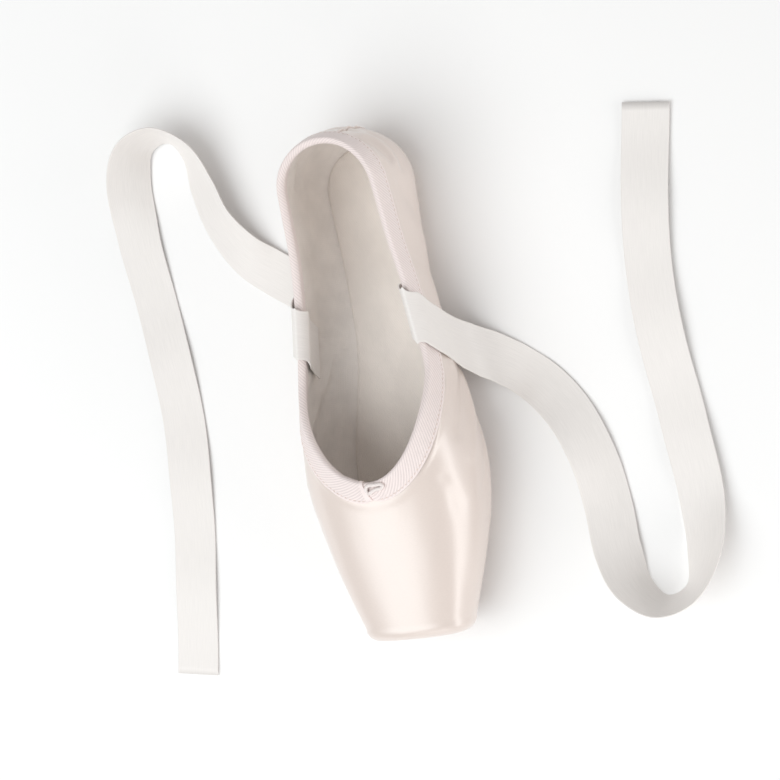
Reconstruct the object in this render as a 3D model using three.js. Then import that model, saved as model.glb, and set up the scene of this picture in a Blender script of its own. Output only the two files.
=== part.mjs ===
// Pointe shoe on a straight last: satin upper with a stiff toe box, leather sole, sock, collar
// binding with its drawstring knot, and two ankle ribbons laid out on the floor.
// Millimetres, +X to the toe, +Z up, origin under the middle of the shoe on the floor.
import * as THREE from 'three';

// Driving sizes
const LENGTH = 236;
const HEEL_CENTRE = 27;
const PLATFORM_EDGE = 6;
const WALL = 2;
const BOX_WALL = 3;
const BOX_WALL_FROM = 165;
const BOX_WALL_FULL = 195;
const SOLE_THICK = 3;
const INSOLE_THICK = 1.5;
const GAP = 0.3;

// Throat, a half ellipse in plan
const THROAT_BACK = 102;
const THROAT_DEEP = 60;
const THROAT_HALF = 35;
const THROAT_BLEND = 6;

// Opening under the foot, inside the lasted margin
const LASTED_MARGIN = 9;
const UNDER_OPEN_ROUND = 176;
const UNDER_OPEN_END = 196;

// Round ends of the sole and the sock
const SOLE_TIP_ROUND = 180;
const SOLE_TIP = 208;
const SOLE_BEVEL = 0.8;
const INSOLE_TIP_ROUND = 200;
const INSOLE_TIP = 226;
const INSOLE_BEVEL = 0.6;
const INSOLE_NARROWER = 3;
const LEAST_HALF = 0.2;

// Folded tape round the collar
const TAPE_THICK = 0.8;
const TAPE_GAP = 0.45;
const TAPE_OUTSIDE = 9;
const TAPE_INSIDE = 6;
const TAPE_CROWN = 1.4;

// Drawstring knot: a small loop of cord, in a frame of its own on the tape's surface, with each
// point given towards the toe, to the left and up
const KNOT_CORD = 1.7;
const KNOT_BELOW_EDGE = 1.8;
const KNOT_ASIDE = 2.2;
const KNOT_LOOP = [
  [1.8, -2.2, 1.3], [1.5, -3.3, 1.25], [0.2, -3.6, 1.25], [-1.4, -3, 1.25], [-2.1, -1.5, 1.25],
  [-2, 0.4, 1.25], [-1.9, 2.4, 1.2], [-1.8, 3.9, 1.15], [-0.8, 4.6, 1.15], [0, 3.7, 1.25],
  [0.1, 2.2, 1.4], [0.4, 0.4, 1.5], [1, -1, 1.45],
];

// Ankle ribbons
const RIBBON_WIDE = 22;
const RIBBON_THICK = 0.6;
const RIBBON_LENGTH = 470;
const RIBBON_STEPS = 120;

// Sections of the last: half width, half of the flat under the foot, lift of the sole off the
// floor, height of the widest line, height of the closed crown, fullness of the upper quarter
const LAST = [
  { along: 12, half: 28, flat: 19, lift: 0, girth: 22, crown: 79, full: 2 },
  { along: 27, half: 28, flat: 19, lift: 0, girth: 22, crown: 79, full: 2 },
  { along: 52, half: 28, flat: 17.5, lift: 0, girth: 21.5, crown: 78.5, full: 2 },
  { along: 72, half: 30, flat: 15.5, lift: 2.6, girth: 21, crown: 77, full: 2 },
  { along: 95, half: 33, flat: 14.5, lift: 4, girth: 21, crown: 75, full: 2 },
  { along: 125, half: 38.3, flat: 20, lift: 2.2, girth: 21, crown: 68, full: 2.1 },
  { along: 146, half: 42, flat: 25.5, lift: 0, girth: 21, crown: 62.5, full: 2.2 },
  { along: 158, half: 43, flat: 26.8, lift: 0, girth: 21, crown: 59, full: 2.25 },
  { along: 171, half: 42.1, flat: 27, lift: 0, girth: 21, crown: 55, full: 2.3 },
  { along: 186, half: 39.5, flat: 25.5, lift: 0, girth: 21.5, crown: 51, full: 2.3 },
  { along: 204, half: 35, flat: 21, lift: 2, girth: 22.5, crown: 47, full: 2.35 },
  { along: 221, half: 29.4, flat: 18, lift: 4.2, girth: 23.5, crown: 43.2, full: 2.4 },
  { along: 236, half: 24.2, flat: 16, lift: 6.5, girth: 24.5, crown: 39.5, full: 2.4 },
  { along: 250, half: 19.4, flat: 14, lift: 8.7, girth: 25.4, crown: 36, full: 2.4 },
];

// Collar height, by the way round the shoe from the side of the heel (negative behind it)
const TOPLINE = [
  { around: -42, height: 57 },
  { around: -15, height: 56 },
  { around: 18, height: 50 },
  { around: 50, height: 44.5 },
  { around: 75, height: 43.5 },
  { around: 100, height: 46 },
  { around: 135, height: 50 },
];

// Ribbon routes, point by point: centre of the strip, and the heading in plan and the tilt off the
// floor of a line across it, in degrees. Each starts inside the wall, leans as it folds over the
// collar, and lies down on the floor. The right one is given mirrored, with +Y outwards.
const RIBBON_LEFT = [
  { x: -38, y: 27.6, z: 24, heading: 7, tilt: 0 },
  { x: -35, y: 27.5, z: 31, heading: 7, tilt: 0 },
  { x: -33, y: 26.2, z: 37, heading: 7, tilt: 0 },
  { x: -30, y: 24.7, z: 43.4, heading: 7, tilt: 0 },
  { x: -28, y: 28.3, z: 48.2, heading: 7, tilt: 0 },
  { x: -26, y: 32.3, z: 43.8, heading: 7, tilt: 0 },
  { x: -22, y: 34, z: 36, heading: 7, tilt: 0 },
  { x: -18, y: 35.1, z: 27, heading: 7, tilt: 0 },
  { x: -13, y: 36.9, z: 17, heading: 6, tilt: 0 },
  { x: -8, y: 41.7, z: 8, heading: 2, tilt: 0 },
  { x: -3, y: 49.3, z: 2.6, heading: -6, tilt: 0 },
  { x: 4, y: 59.5, heading: -18, tilt: 3 },
  { x: 14, y: 71, heading: -38, tilt: 13 },
  { x: 29, y: 82, heading: -56, tilt: 27 },
  { x: 48, y: 89, heading: -74, tilt: 30 },
  { x: 71, y: 92, heading: -84, tilt: 22 },
  { x: 92, y: 94, heading: -80, tilt: 30 },
  { x: 109, y: 100, heading: -58, tilt: 56 },
  { x: 118, y: 111, heading: -14, tilt: 72 },
  { x: 114, y: 125, heading: 44, tilt: 66 },
  { x: 98, y: 133, heading: 77, tilt: 38 },
  { x: 72, y: 135, heading: 91, tilt: 10 },
  { x: 38, y: 132, heading: 96, tilt: 3 },
  { x: 2, y: 128, heading: 95, tilt: 4 },
  { x: -34, y: 127, heading: 87, tilt: 5 },
  { x: -70, y: 131, heading: 82, tilt: 3 },
  { x: -116, y: 139, heading: 80, tilt: 0 },
];
const RIBBON_RIGHT = [
  { x: -18, y: 29.9, z: 24, heading: 7, tilt: 0 },
  { x: -21, y: 29.2, z: 31, heading: 7, tilt: 0 },
  { x: -23, y: 27.4, z: 37, heading: 7, tilt: 0 },
  { x: -26, y: 25.2, z: 43.4, heading: 7, tilt: 0 },
  { x: -28, y: 28.3, z: 48.7, heading: 7, tilt: 0 },
  { x: -30, y: 32, z: 43.8, heading: 7, tilt: 0 },
  { x: -34, y: 32.9, z: 36, heading: 7, tilt: 0 },
  { x: -38, y: 33.2, z: 27, heading: 7, tilt: 0 },
  { x: -43, y: 34.7, z: 17, heading: 8, tilt: 0 },
  { x: -48, y: 39.5, z: 8, heading: 10, tilt: 0 },
  { x: -53, y: 47.3, z: 2.6, heading: 14, tilt: 0 },
  { x: -60, y: 57.5, heading: 24, tilt: -3 },
  { x: -70, y: 69, heading: 43, tilt: -15 },
  { x: -86, y: 79, heading: 61, tilt: -28 },
  { x: -106, y: 85, heading: 76, tilt: -34 },
  { x: -124, y: 90, heading: 62, tilt: -54 },
  { x: -134, y: 101, heading: 16, tilt: -72 },
  { x: -131, y: 115, heading: -44, tilt: -67 },
  { x: -116, y: 124, heading: -76, tilt: -38 },
  { x: -90, y: 126, heading: -92, tilt: -9 },
  { x: -57, y: 123, heading: -96, tilt: -3 },
  { x: -21, y: 119, heading: -94, tilt: -4 },
  { x: 15, y: 118, heading: -88, tilt: -5 },
  { x: 51, y: 121, heading: -83, tilt: -3 },
  { x: 87, y: 126, heading: -81, tilt: 0 },
  { x: 131, y: 133, heading: -82, tilt: 0 },
];

// Stretch that a table's curve is eased over, and the weights along it
const EASE_REACH = 20;
const EASE_SHARES = [0.0625, 0.125, 0.1875, 0.25, 0.1875, 0.125, 0.0625];

// Facets of the pieces
const STEPS = { heel: 10, side: 8, throat: 10, vamp: 2, underTip: 5, box: 4, nose: 4, section: 14 };
const SOLE_STEPS = { side: 16, tip: 9 };
const KNOT_FACETS = { along: 60, round: 8 };
const SECTION_PROBES = 90;
const ROUTE_PROBES = 2000;
const WALK_STEPS = 4;
const TANGENT_STEP = 0.01;

// Quarter value at the crown of a section
const CROWN = 3;

const QUARTER_TURN = Math.PI / 2;
const HEEL_ARC = HEEL_CENTRE * QUARTER_TURN;
const NOSE_FROM = LENGTH - PLATFORM_EDGE - HEEL_CENTRE;

// Curve through one column of a table, flat wherever neighbouring rows are equal, then eased by its
// mean over a short stretch so that its curvature is smooth too
function column(table, key, place) {
  const at = table.map((row) => row[place]);
  const value = table.map((row) => row[key]);
  const slope = at.slice(1).map((end, i) => (value[i + 1] - value[i]) / (end - at[i]));
  const bend = at.map((_, i) => {
    const before = slope[Math.max(0, i - 1)];
    const after = slope[Math.min(slope.length - 1, i)];
    return before * after > 0 ? (2 * before * after) / (before + after) : 0;
  });
  const through = (where) => {
    const x = THREE.MathUtils.clamp(where, at[0], at[at.length - 1]);
    const i = Math.max(0, at.findLastIndex((start, k) => start <= x && k < slope.length));
    const span = at[i + 1] - at[i];
    const t = (x - at[i]) / span;
    const u = 1 - t;
    return value[i] * u * u * (1 + 2 * t) + value[i + 1] * t * t * (3 - 2 * t)
      + span * t * u * (bend[i] * u - bend[i + 1] * t);
  };
  return (where) => EASE_SHARES.reduce((sum, share, k) => (
    sum + share * through(where + EASE_REACH * (k / (EASE_SHARES.length - 1) - 0.5))
  ), 0);
}

const halfWidth = column(LAST, 'half', 'along');
const flatHalf = column(LAST, 'flat', 'along');
const soleLift = column(LAST, 'lift', 'along');
const girthHeight = column(LAST, 'girth', 'along');
const crownHeight = column(LAST, 'crown', 'along');
const fullness = column(LAST, 'full', 'along');
const toplineHeight = column(TOPLINE, 'height', 'around');

const footAlong = (around) => HEEL_CENTRE + THREE.MathUtils.clamp(around, 0, NOSE_FROM);

function wallAt(along) {
  const share = THREE.MathUtils.smoothstep(along, BOX_WALL_FROM, BOX_WALL_FULL);
  return THREE.MathUtils.lerp(WALL, BOX_WALL, share);
}

// One point of a cross-section. The quarter runs 0 to 1 along the flat underside, 1 to 2 round the
// lower edge to the widest line, and 2 to 3 over the upper part to the crown.
function sectionPoint(along, quarter, inset) {
  const half = halfWidth(along) - inset;
  const flat = flatHalf(along) * (half / halfWidth(along));
  const bottom = soleLift(along) + SOLE_THICK + GAP + inset;
  const girth = girthHeight(along);
  if (quarter <= 1) {
    return { y: flat * quarter, z: bottom };
  }
  if (quarter <= 2) {
    const turn = (quarter - 1) * QUARTER_TURN;
    return { y: flat + (half - flat) * Math.sin(turn), z: girth - (girth - bottom) * Math.cos(turn) };
  }
  const turn = Math.min(1, quarter - 2) * QUARTER_TURN;
  const full = fullness(along);
  const reach = (Math.cos(turn) ** full + Math.sin(turn) ** full) ** (-1 / full);
  const rise = crownHeight(along) - inset - girth;
  const y = quarter >= CROWN ? 0 : half * reach * Math.cos(turn);
  return { y, z: girth + rise * reach * Math.sin(turn) };
}

// The shoe's whole outer form on its left side, pushed inwards by an inset. The way round runs from
// the middle of the heel's back (-HEEL_ARC) by the side of the heel (0) to the platform's face.
function form(around, quarter, inset = 0) {
  const along = footAlong(around);
  const nose = Math.max(0, around - NOSE_FROM) / PLATFORM_EDGE;
  const edge = PLATFORM_EDGE - inset;
  const point = sectionPoint(along, quarter, inset + edge * (1 - Math.cos(nose)));
  if (around >= 0) {
    return new THREE.Vector3(along + edge * Math.sin(nose) - LENGTH / 2, point.y, point.z);
  }
  const turn = Math.max(0, 1 + around / HEEL_ARC) * QUARTER_TURN;
  const back = point.y * (HEEL_CENTRE / halfWidth(HEEL_CENTRE)) * Math.cos(turn);
  const y = around <= -HEEL_ARC ? 0 : point.y * Math.sin(turn);
  return new THREE.Vector3(along - back - LENGTH / 2, y, point.z);
}

// Where the collar's edge cuts a section: the topline's height at the sides, the throat in front
function collarQuarter(around) {
  const along = footAlong(around);
  const ahead = Math.max(0, (along - THROAT_BACK) / THROAT_DEEP);
  if (ahead >= 1) {
    return CROWN;
  }
  const full = fullness(along);
  const girth = girthHeight(along);
  const other = (share) => (1 - Math.min(1, share) ** full) ** (1 / full);
  const up = (toplineHeight(around) - girth) / (crownHeight(along) - girth);
  const out = (THROAT_HALF * Math.sqrt(1 - ahead * ahead)) / halfWidth(along);
  const side = Math.atan2(up, other(up));
  const throat = Math.atan2(other(out), Math.min(1, out));
  const turn = (side ** THROAT_BLEND + throat ** THROAT_BLEND) ** (1 / THROAT_BLEND);
  return 2 + Math.min(1, turn / QUARTER_TURN);
}

// Half width that narrows to nothing in a quarter ellipse between two places
function roundedEnd(along, from, end) {
  const t = THREE.MathUtils.clamp((along - from) / (end - from), 0, 1);
  return Math.sqrt(1 - t * t);
}

function openingQuarter(around) {
  const along = footAlong(around);
  const share = 1 - LASTED_MARGIN / flatHalf(along);
  return share * roundedEnd(along, UNDER_OPEN_ROUND, UNDER_OPEN_END);
}

// Closed mesh gathered point by point
class Skin {
  constructor() {
    this.points = [];
    this.faces = [];
  }

  add(point) {
    this.points.push(point.x, point.y, point.z);
    return this.points.length / 3 - 1;
  }

  // A point and its mirror image, which is the same point on the middle plane
  pair(point) {
    const left = this.add(point);
    const right = point.y === 0 ? left : this.add({ x: point.x, y: -point.y, z: point.z });
    return [left, right];
  }

  triangle(a, b, c) {
    if (a !== b && b !== c && c !== a) {
      this.faces.push(a, b, c);
    }
  }

  quad(a, b, c, d) {
    this.triangle(a, b, c);
    this.triangle(a, c, d);
  }

  // The same quad on both sides of the middle plane
  quadPair(a, b, c, d) {
    this.quad(a[0], b[0], c[0], d[0]);
    this.quad(d[1], c[1], b[1], a[1]);
  }

  geometry() {
    const geometry = new THREE.BufferGeometry();
    geometry.setAttribute('position', new THREE.Float32BufferAttribute(this.points, 3));
    geometry.setIndex(this.faces);
    geometry.computeVertexNormals();
    return geometry;
  }
}

const evenly = (count, value) => Array.from({ length: count }, (_, i) => value((i + 1) / count));
const arcSteps = (count, from, end) => (
  evenly(count, (t) => from + (end - from) * Math.sin(t * QUARTER_TURN))
);
const lineSteps = (count, from, end) => evenly(count, (t) => from + (end - from) * t);

const THROAT_TIP = THROAT_BACK + THROAT_DEEP;
const HEEL_STATIONS = lineSteps(STEPS.heel, -HEEL_ARC, 0);
const FOOT_STATIONS = [
  ...lineSteps(STEPS.side, HEEL_CENTRE, THROAT_BACK),
  ...arcSteps(STEPS.throat, THROAT_BACK, THROAT_TIP),
  ...lineSteps(STEPS.vamp, THROAT_TIP, UNDER_OPEN_ROUND),
  ...arcSteps(STEPS.underTip, UNDER_OPEN_ROUND, UNDER_OPEN_END),
  ...lineSteps(STEPS.box, UNDER_OPEN_END, LENGTH - PLATFORM_EDGE),
].map((along) => along - HEEL_CENTRE);
const NOSE_STATIONS = lineSteps(STEPS.nose, NOSE_FROM, NOSE_FROM + PLATFORM_EDGE * QUARTER_TURN);
const STATIONS = [-HEEL_ARC, ...HEEL_STATIONS, ...FOOT_STATIONS, ...NOSE_STATIONS];
const COLLAR_STATIONS = STATIONS.filter((around) => around <= THROAT_TIP - HEEL_CENTRE);
const UNDER_STATIONS = STATIONS.filter((around) => around <= UNDER_OPEN_END - HEEL_CENTRE);

// Evenly spaced points of one section, from the opening underneath to the collar's edge
function sectionRow(around, inset) {
  const low = openingQuarter(around);
  const high = collarQuarter(around);
  const probes = [low, ...lineSteps(SECTION_PROBES, low, high)];
  const points = probes.map((quarter) => form(around, quarter, inset));
  const walked = [0];
  points.slice(1).forEach((point, i) => walked.push(walked[i] + point.distanceTo(points[i])));
  const total = walked[SECTION_PROBES];
  return Array.from({ length: STEPS.section + 1 }, (_, step) => {
    const goal = (total * step) / STEPS.section;
    const i = Math.min(SECTION_PROBES - 1, Math.max(0, walked.findLastIndex((length) => length <= goal)));
    const t = (goal - walked[i]) / (walked[i + 1] - walked[i]);
    return form(around, THREE.MathUtils.lerp(probes[i], probes[i + 1], t), inset);
  });
}

// Hollow upper: outer and inner skins, joined at the collar and round the opening underneath
function upperGeometry() {
  const skin = new Skin();
  const gridAt = (insetOf) => STATIONS.map((around) => (
    sectionRow(around, insetOf(footAlong(around))).map((point) => skin.pair(point))
  ));
  const outer = gridAt(() => 0);
  const inner = gridAt(wallAt);
  for (let i = 0; i < STATIONS.length - 1; i++) {
    for (let j = 0; j < STEPS.section; j++) {
      skin.quadPair(outer[i][j], outer[i][j + 1], outer[i + 1][j + 1], outer[i + 1][j]);
      skin.quadPair(inner[i][j], inner[i + 1][j], inner[i + 1][j + 1], inner[i][j + 1]);
    }
  }
  for (let i = 0; i < COLLAR_STATIONS.length - 1; i++) {
    skin.quadPair(
      outer[i][STEPS.section], inner[i][STEPS.section],
      inner[i + 1][STEPS.section], outer[i + 1][STEPS.section],
    );
  }
  for (let i = 0; i < UNDER_STATIONS.length - 1; i++) {
    skin.quadPair(outer[i][0], outer[i + 1][0], inner[i + 1][0], inner[i][0]);
  }
  const outerFace = outer[STATIONS.length - 1];
  const innerFace = inner[STATIONS.length - 1];
  for (let j = 0; j < STEPS.section; j++) {
    skin.quad(outerFace[j][0], outerFace[j + 1][0], outerFace[j + 1][1], outerFace[j][1]);
    skin.quad(innerFace[j][0], innerFace[j][1], innerFace[j + 1][1], innerFace[j + 1][0]);
  }
  return skin.geometry();
}

// Half outline of a sole in plan, from the back of the heel to its round tip
function soleOutline(extra, tipRound, tip) {
  const heelHalf = flatHalf(HEEL_CENTRE) + extra;
  const heelBack = heelHalf * (HEEL_CENTRE / halfWidth(HEEL_CENTRE));
  const heel = [-HEEL_ARC, ...HEEL_STATIONS].map((around) => {
    const turn = (1 + around / HEEL_ARC) * QUARTER_TURN;
    return { along: HEEL_CENTRE - heelBack * Math.cos(turn), half: heelHalf * Math.sin(turn) };
  });
  const foot = [
    ...lineSteps(SOLE_STEPS.side, HEEL_CENTRE, tipRound),
    ...arcSteps(SOLE_STEPS.tip, tipRound, tip),
  ].map((along) => ({ along, half: (flatHalf(along) + extra) * roundedEnd(along, tipRound, tip) }));
  return [...heel, ...foot];
}

// Curved plate over such an outline, its lower edge bevelled
function plateGeometry(outline, underside, thick, bevel) {
  const skin = new Skin();
  const middle = (outline[0].along + outline[outline.length - 1].along) / 2;
  const ring = (shrink, rise) => outline.map(({ along, half }, i) => {
    const narrow = Math.max(0, half - shrink);
    const short = half > shrink ? along : along + Math.sign(middle - along) * shrink;
    const y = i === 0 || i === outline.length - 1 ? 0 : Math.max(narrow, LEAST_HALF);
    return skin.pair({ x: short - LENGTH / 2, y, z: underside(along) + rise });
  });
  const bottom = ring(bevel, 0);
  const lower = ring(0, bevel);
  const top = ring(0, thick);
  for (let i = 0; i < outline.length - 1; i++) {
    skin.quadPair(bottom[i], lower[i], lower[i + 1], bottom[i + 1]);
    skin.quadPair(lower[i], top[i], top[i + 1], lower[i + 1]);
    skin.quad(bottom[i][0], bottom[i + 1][0], bottom[i + 1][1], bottom[i][1]);
    skin.quad(top[i][0], top[i][1], top[i + 1][1], top[i + 1][0]);
  }
  return skin.geometry();
}

function outsoleGeometry() {
  const outline = soleOutline(GAP, SOLE_TIP_ROUND, SOLE_TIP);
  return plateGeometry(outline, soleLift, SOLE_THICK, SOLE_BEVEL);
}

function insoleGeometry() {
  const seat = (along) => soleLift(along) + SOLE_THICK + GAP + wallAt(along) + GAP;
  const outline = soleOutline(-INSOLE_NARROWER, INSOLE_TIP_ROUND, INSOLE_TIP);
  return plateGeometry(outline, seat, INSOLE_THICK, INSOLE_BEVEL);
}

// Tangents of the form along its two ways, for walking over it
function tangents(around, quarter) {
  const step = TANGENT_STEP;
  const low = Math.min(quarter, CROWN - step);
  const byAround = form(around + step, low).sub(form(around - step, low)).divideScalar(2 * step);
  const byQuarter = form(around, low + step).sub(form(around, low - step)).divideScalar(2 * step);
  return { byAround, byQuarter };
}

// Place reached by walking over the form from a place on the collar, square to the collar's edge
function walkFromEdge(edge, distance, inset) {
  let { around, quarter } = edge;
  for (let i = 0; i < WALK_STEPS; i++) {
    const { byAround, byQuarter } = tangents(around, quarter);
    const normal = byAround.clone().cross(byQuarter).normalize();
    const away = edge.along.clone().cross(normal).normalize().multiplyScalar(distance / WALK_STEPS);
    const [aa, ab, bb] = [byAround.dot(byAround), byAround.dot(byQuarter), byQuarter.dot(byQuarter)];
    const [wa, wb] = [away.dot(byAround), away.dot(byQuarter)];
    const scale = aa * bb - ab * ab;
    around += (wa * bb - wb * ab) / scale;
    quarter = Math.min(CROWN, quarter + (wb * aa - wa * ab) / scale);
  }
  const point = form(around, quarter, inset);
  if (edge.middle) {
    point.y = 0;
  }
  return point;
}

// Places on the collar's edge with the direction of the edge there
function collarEdge() {
  const places = COLLAR_STATIONS.map((around) => ({ around, quarter: collarQuarter(around) }));
  const points = places.map(({ around, quarter }) => form(around, quarter));
  const last = places.length - 1;
  return places.map((place, i) => {
    const before = i === 0 ? points[1].clone().setY(-points[1].y) : points[i - 1];
    const after = i === last ? points[last - 1].clone().setY(-points[last - 1].y) : points[i + 1];
    return { ...place, middle: i === 0 || i === last, along: after.clone().sub(before).normalize() };
  });
}

// Folded tape: a U over the collar's edge, its outer leg longer than its inner leg
function bindingGeometry() {
  const skin = new Skin();
  const rows = collarEdge().map((edge) => {
    const wall = wallAt(footAlong(edge.around));
    const [near, far] = [TAPE_GAP, TAPE_GAP + TAPE_THICK];
    const profile = [
      { away: TAPE_OUTSIDE, inset: -far },
      { away: TAPE_OUTSIDE / 2, inset: -far },
      { away: -TAPE_GAP, inset: -far },
      { away: -TAPE_CROWN, inset: wall / 2 },
      { away: -TAPE_GAP, inset: wall + far },
      { away: TAPE_INSIDE / 2, inset: wall + far },
      { away: TAPE_INSIDE, inset: wall + far },
      { away: TAPE_INSIDE, inset: wall + near },
      { away: TAPE_INSIDE / 2, inset: wall + near },
      { away: -TAPE_GAP, inset: wall + near },
      { away: -TAPE_GAP, inset: -near },
      { away: TAPE_OUTSIDE / 2, inset: -near },
      { away: TAPE_OUTSIDE, inset: -near },
    ];
    return profile.map(({ away, inset }) => skin.pair(walkFromEdge(edge, away, inset)));
  });
  for (let i = 0; i < rows.length - 1; i++) {
    rows[i].forEach((point, j) => {
      const next = (j + 1) % rows[i].length;
      skin.quadPair(point, rows[i][next], rows[i + 1][next], rows[i + 1][j]);
    });
  }
  return skin.geometry();
}

// Knot's loop lying on the tape's fold at the front of the throat, a little left of the middle
function knotMesh(material) {
  const edge = collarEdge().at(-1);
  const onTape = (away) => walkFromEdge(edge, away, -TAPE_GAP - TAPE_THICK);
  const seat = onTape(KNOT_BELOW_EDGE);
  const ahead = onTape(KNOT_BELOW_EDGE + 1);
  const forward = ahead.sub(seat).normalize();
  const across = new THREE.Vector3(0, 1, 0);
  const up = forward.clone().cross(across);
  const points = KNOT_LOOP.map((point) => new THREE.Vector3(...point));
  const route = new THREE.CatmullRomCurve3(points, true, 'centripetal');
  const geometry = new THREE.TubeGeometry(
    route, KNOT_FACETS.along, KNOT_CORD / 2, KNOT_FACETS.round, true,
  );
  const mesh = new THREE.Mesh(geometry, material);
  mesh.setRotationFromMatrix(new THREE.Matrix4().makeBasis(forward, across, up));
  mesh.position.copy(seat).addScaledVector(across, KNOT_ASIDE);
  return mesh;
}

// Flat strip of the ribbon's length along a route of centres and lines across it, which may lie
// aslant. A point with no height of its own lies with the strip's lower edge on the floor.
function ribbonGeometry(rows, side) {
  const route = rows.map((row) => {
    const lift = (RIBBON_WIDE / 2) * Math.sin(Math.abs(THREE.MathUtils.degToRad(row.tilt)));
    return { z: lift + RIBBON_THICK, ...row };
  });
  const centres = new THREE.CatmullRomCurve3(
    route.map(({ x, y, z }) => new THREE.Vector3(x, side * y, z)), false, 'centripetal',
  );
  const widths = new THREE.CatmullRomCurve3(route.map(({ heading, tilt }) => {
    const [turn, rise] = [heading, tilt].map(THREE.MathUtils.degToRad);
    const flat = Math.cos(rise);
    return new THREE.Vector3(flat * Math.cos(turn), side * flat * Math.sin(turn), Math.sin(rise));
  }), false, 'catmullrom');
  centres.arcLengthDivisions = ROUTE_PROBES;
  centres.updateArcLengths();
  const end = centres.getUtoTmapping(0, RIBBON_LENGTH);
  const skin = new Skin();
  const rings = Array.from({ length: RIBBON_STEPS + 1 }, (_, i) => {
    const t = (end * i) / RIBBON_STEPS;
    const centre = centres.getPoint(t);
    const ahead = centres.getTangent(t);
    const across = widths.getPoint(t);
    across.setLength(RIBBON_WIDE / 2 / Math.sin(across.angleTo(ahead)));
    const up = ahead.clone().cross(across).setLength(RIBBON_THICK / 2);
    return [[1, 1], [-1, 1], [-1, -1], [1, -1]].map(([a, b]) => (
      skin.add(centre.clone().addScaledVector(across, a).addScaledVector(up, b))
    ));
  });
  for (let i = 0; i < RIBBON_STEPS; i++) {
    const [here, next] = [rings[i], rings[i + 1]];
    skin.quad(here[0], here[1], next[1], next[0]);
    skin.quad(here[1], here[2], next[2], next[1]);
    skin.quad(here[3], next[3], next[2], here[2]);
    skin.quad(here[3], here[0], next[0], next[3]);
  }
  skin.quad(...rings[0].toReversed());
  skin.quad(...rings[RIBBON_STEPS]);
  return skin.geometry();
}

// Finishes
const satin = new THREE.MeshStandardMaterial({ color: 0xf3e4dc, roughness: 0.35, metalness: 0 });
const tape = new THREE.MeshStandardMaterial({ color: 0xf5e6e2, roughness: 0.7, metalness: 0 });
const soleLeather = new THREE.MeshStandardMaterial({ color: 0xbfa98c, roughness: 0.85, metalness: 0 });
const sock = new THREE.MeshStandardMaterial({ color: 0xe9dfd2, roughness: 0.9, metalness: 0 });
const elastic = new THREE.MeshStandardMaterial({ color: 0xf6ece8, roughness: 0.7, metalness: 0 });
const ribbonSatin = new THREE.MeshStandardMaterial({ color: 0xf0ebe6, roughness: 0.4, metalness: 0 });

function named(name, geometry, material) {
  const mesh = new THREE.Mesh(geometry, material);
  mesh.name = name;
  return mesh;
}

const shoe = new THREE.Group();
shoe.name = 'pointe_shoe';
shoe.add(named('upper', upperGeometry(), satin));
shoe.add(named('outsole', outsoleGeometry(), soleLeather));
shoe.add(named('insole', insoleGeometry(), sock));
shoe.add(named('binding', bindingGeometry(), tape));
const knot = knotMesh(elastic);
knot.name = 'drawstring_knot';
shoe.add(knot);
shoe.add(named('ribbon_left', ribbonGeometry(RIBBON_LEFT, 1), ribbonSatin));
shoe.add(named('ribbon_right', ribbonGeometry(RIBBON_RIGHT, -1), ribbonSatin));

export default shoe;
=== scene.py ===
"""Pointe shoe: satin upper with a stiff toe box, hatched leather sole, bound collar with a
drawstring knot, and two ankle ribbons laid out on the floor. Laid out as an add-on."""

import math

import bmesh
import bpy
import numpy as np
from mathutils import Matrix, Vector


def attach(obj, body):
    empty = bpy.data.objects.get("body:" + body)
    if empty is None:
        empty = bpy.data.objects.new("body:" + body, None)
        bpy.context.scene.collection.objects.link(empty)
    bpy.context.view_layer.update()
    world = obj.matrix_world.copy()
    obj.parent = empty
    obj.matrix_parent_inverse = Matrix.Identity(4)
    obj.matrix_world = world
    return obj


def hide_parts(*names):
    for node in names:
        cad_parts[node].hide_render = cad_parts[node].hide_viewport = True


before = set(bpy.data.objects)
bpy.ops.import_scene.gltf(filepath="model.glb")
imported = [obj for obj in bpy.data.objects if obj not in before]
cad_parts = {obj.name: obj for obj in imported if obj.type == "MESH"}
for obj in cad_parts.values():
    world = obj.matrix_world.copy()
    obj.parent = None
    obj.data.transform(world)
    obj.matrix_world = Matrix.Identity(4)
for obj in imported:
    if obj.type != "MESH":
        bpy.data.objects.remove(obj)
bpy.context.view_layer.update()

bl_info = {
    "name": "Pointe shoe",
    "version": (1, 0, 0),
    "blender": (4, 5, 0),
    "location": "3D View > Sidebar > Pointe shoe",
    "description": "Builds a satin pointe shoe round its CAD frame",
    "category": "Object",
}

# All sizes are in millimetres until a mesh is made
MM = 0.001
QUARTER_TURN = math.pi / 2

# Driving sizes, as in the CAD part
LENGTH = 236
HEEL_CENTRE = 27
PLATFORM_EDGE = 6
WALL, BOX_WALL = 2, 3
BOX_WALL_FROM, BOX_WALL_FULL = 165, 195
SOLE_THICK = 3
INSOLE_THICK = 1.5
GAP = 0.3
THROAT_BACK, THROAT_DEEP, THROAT_HALF, THROAT_BLEND = 102, 60, 35, 6
LASTED_MARGIN, UNDER_OPEN_ROUND, UNDER_OPEN_END = 9, 176, 196
SOLE_TIP_ROUND, SOLE_TIP = 180, 208
INSOLE_TIP_ROUND, INSOLE_TIP = 200, 226
TAPE_OUTSIDE, TAPE_INSIDE = 9, 6
RIBBON_WIDE, RIBBON_LENGTH, RIBBON_FLOOR = 22, 470, 0.6
HEEL_ARC = HEEL_CENTRE * QUARTER_TURN
NOSE_FROM = LENGTH - PLATFORM_EDGE - HEEL_CENTRE
NOSE_END = NOSE_FROM + PLATFORM_EDGE * QUARTER_TURN
THROAT_TIP = THROAT_BACK + THROAT_DEEP - HEEL_CENTRE
UNDER_TIP = UNDER_OPEN_END - HEEL_CENTRE
CROWN = 3
LEFT, RIGHT = 1, -1
TINY = 1e-9


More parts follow.
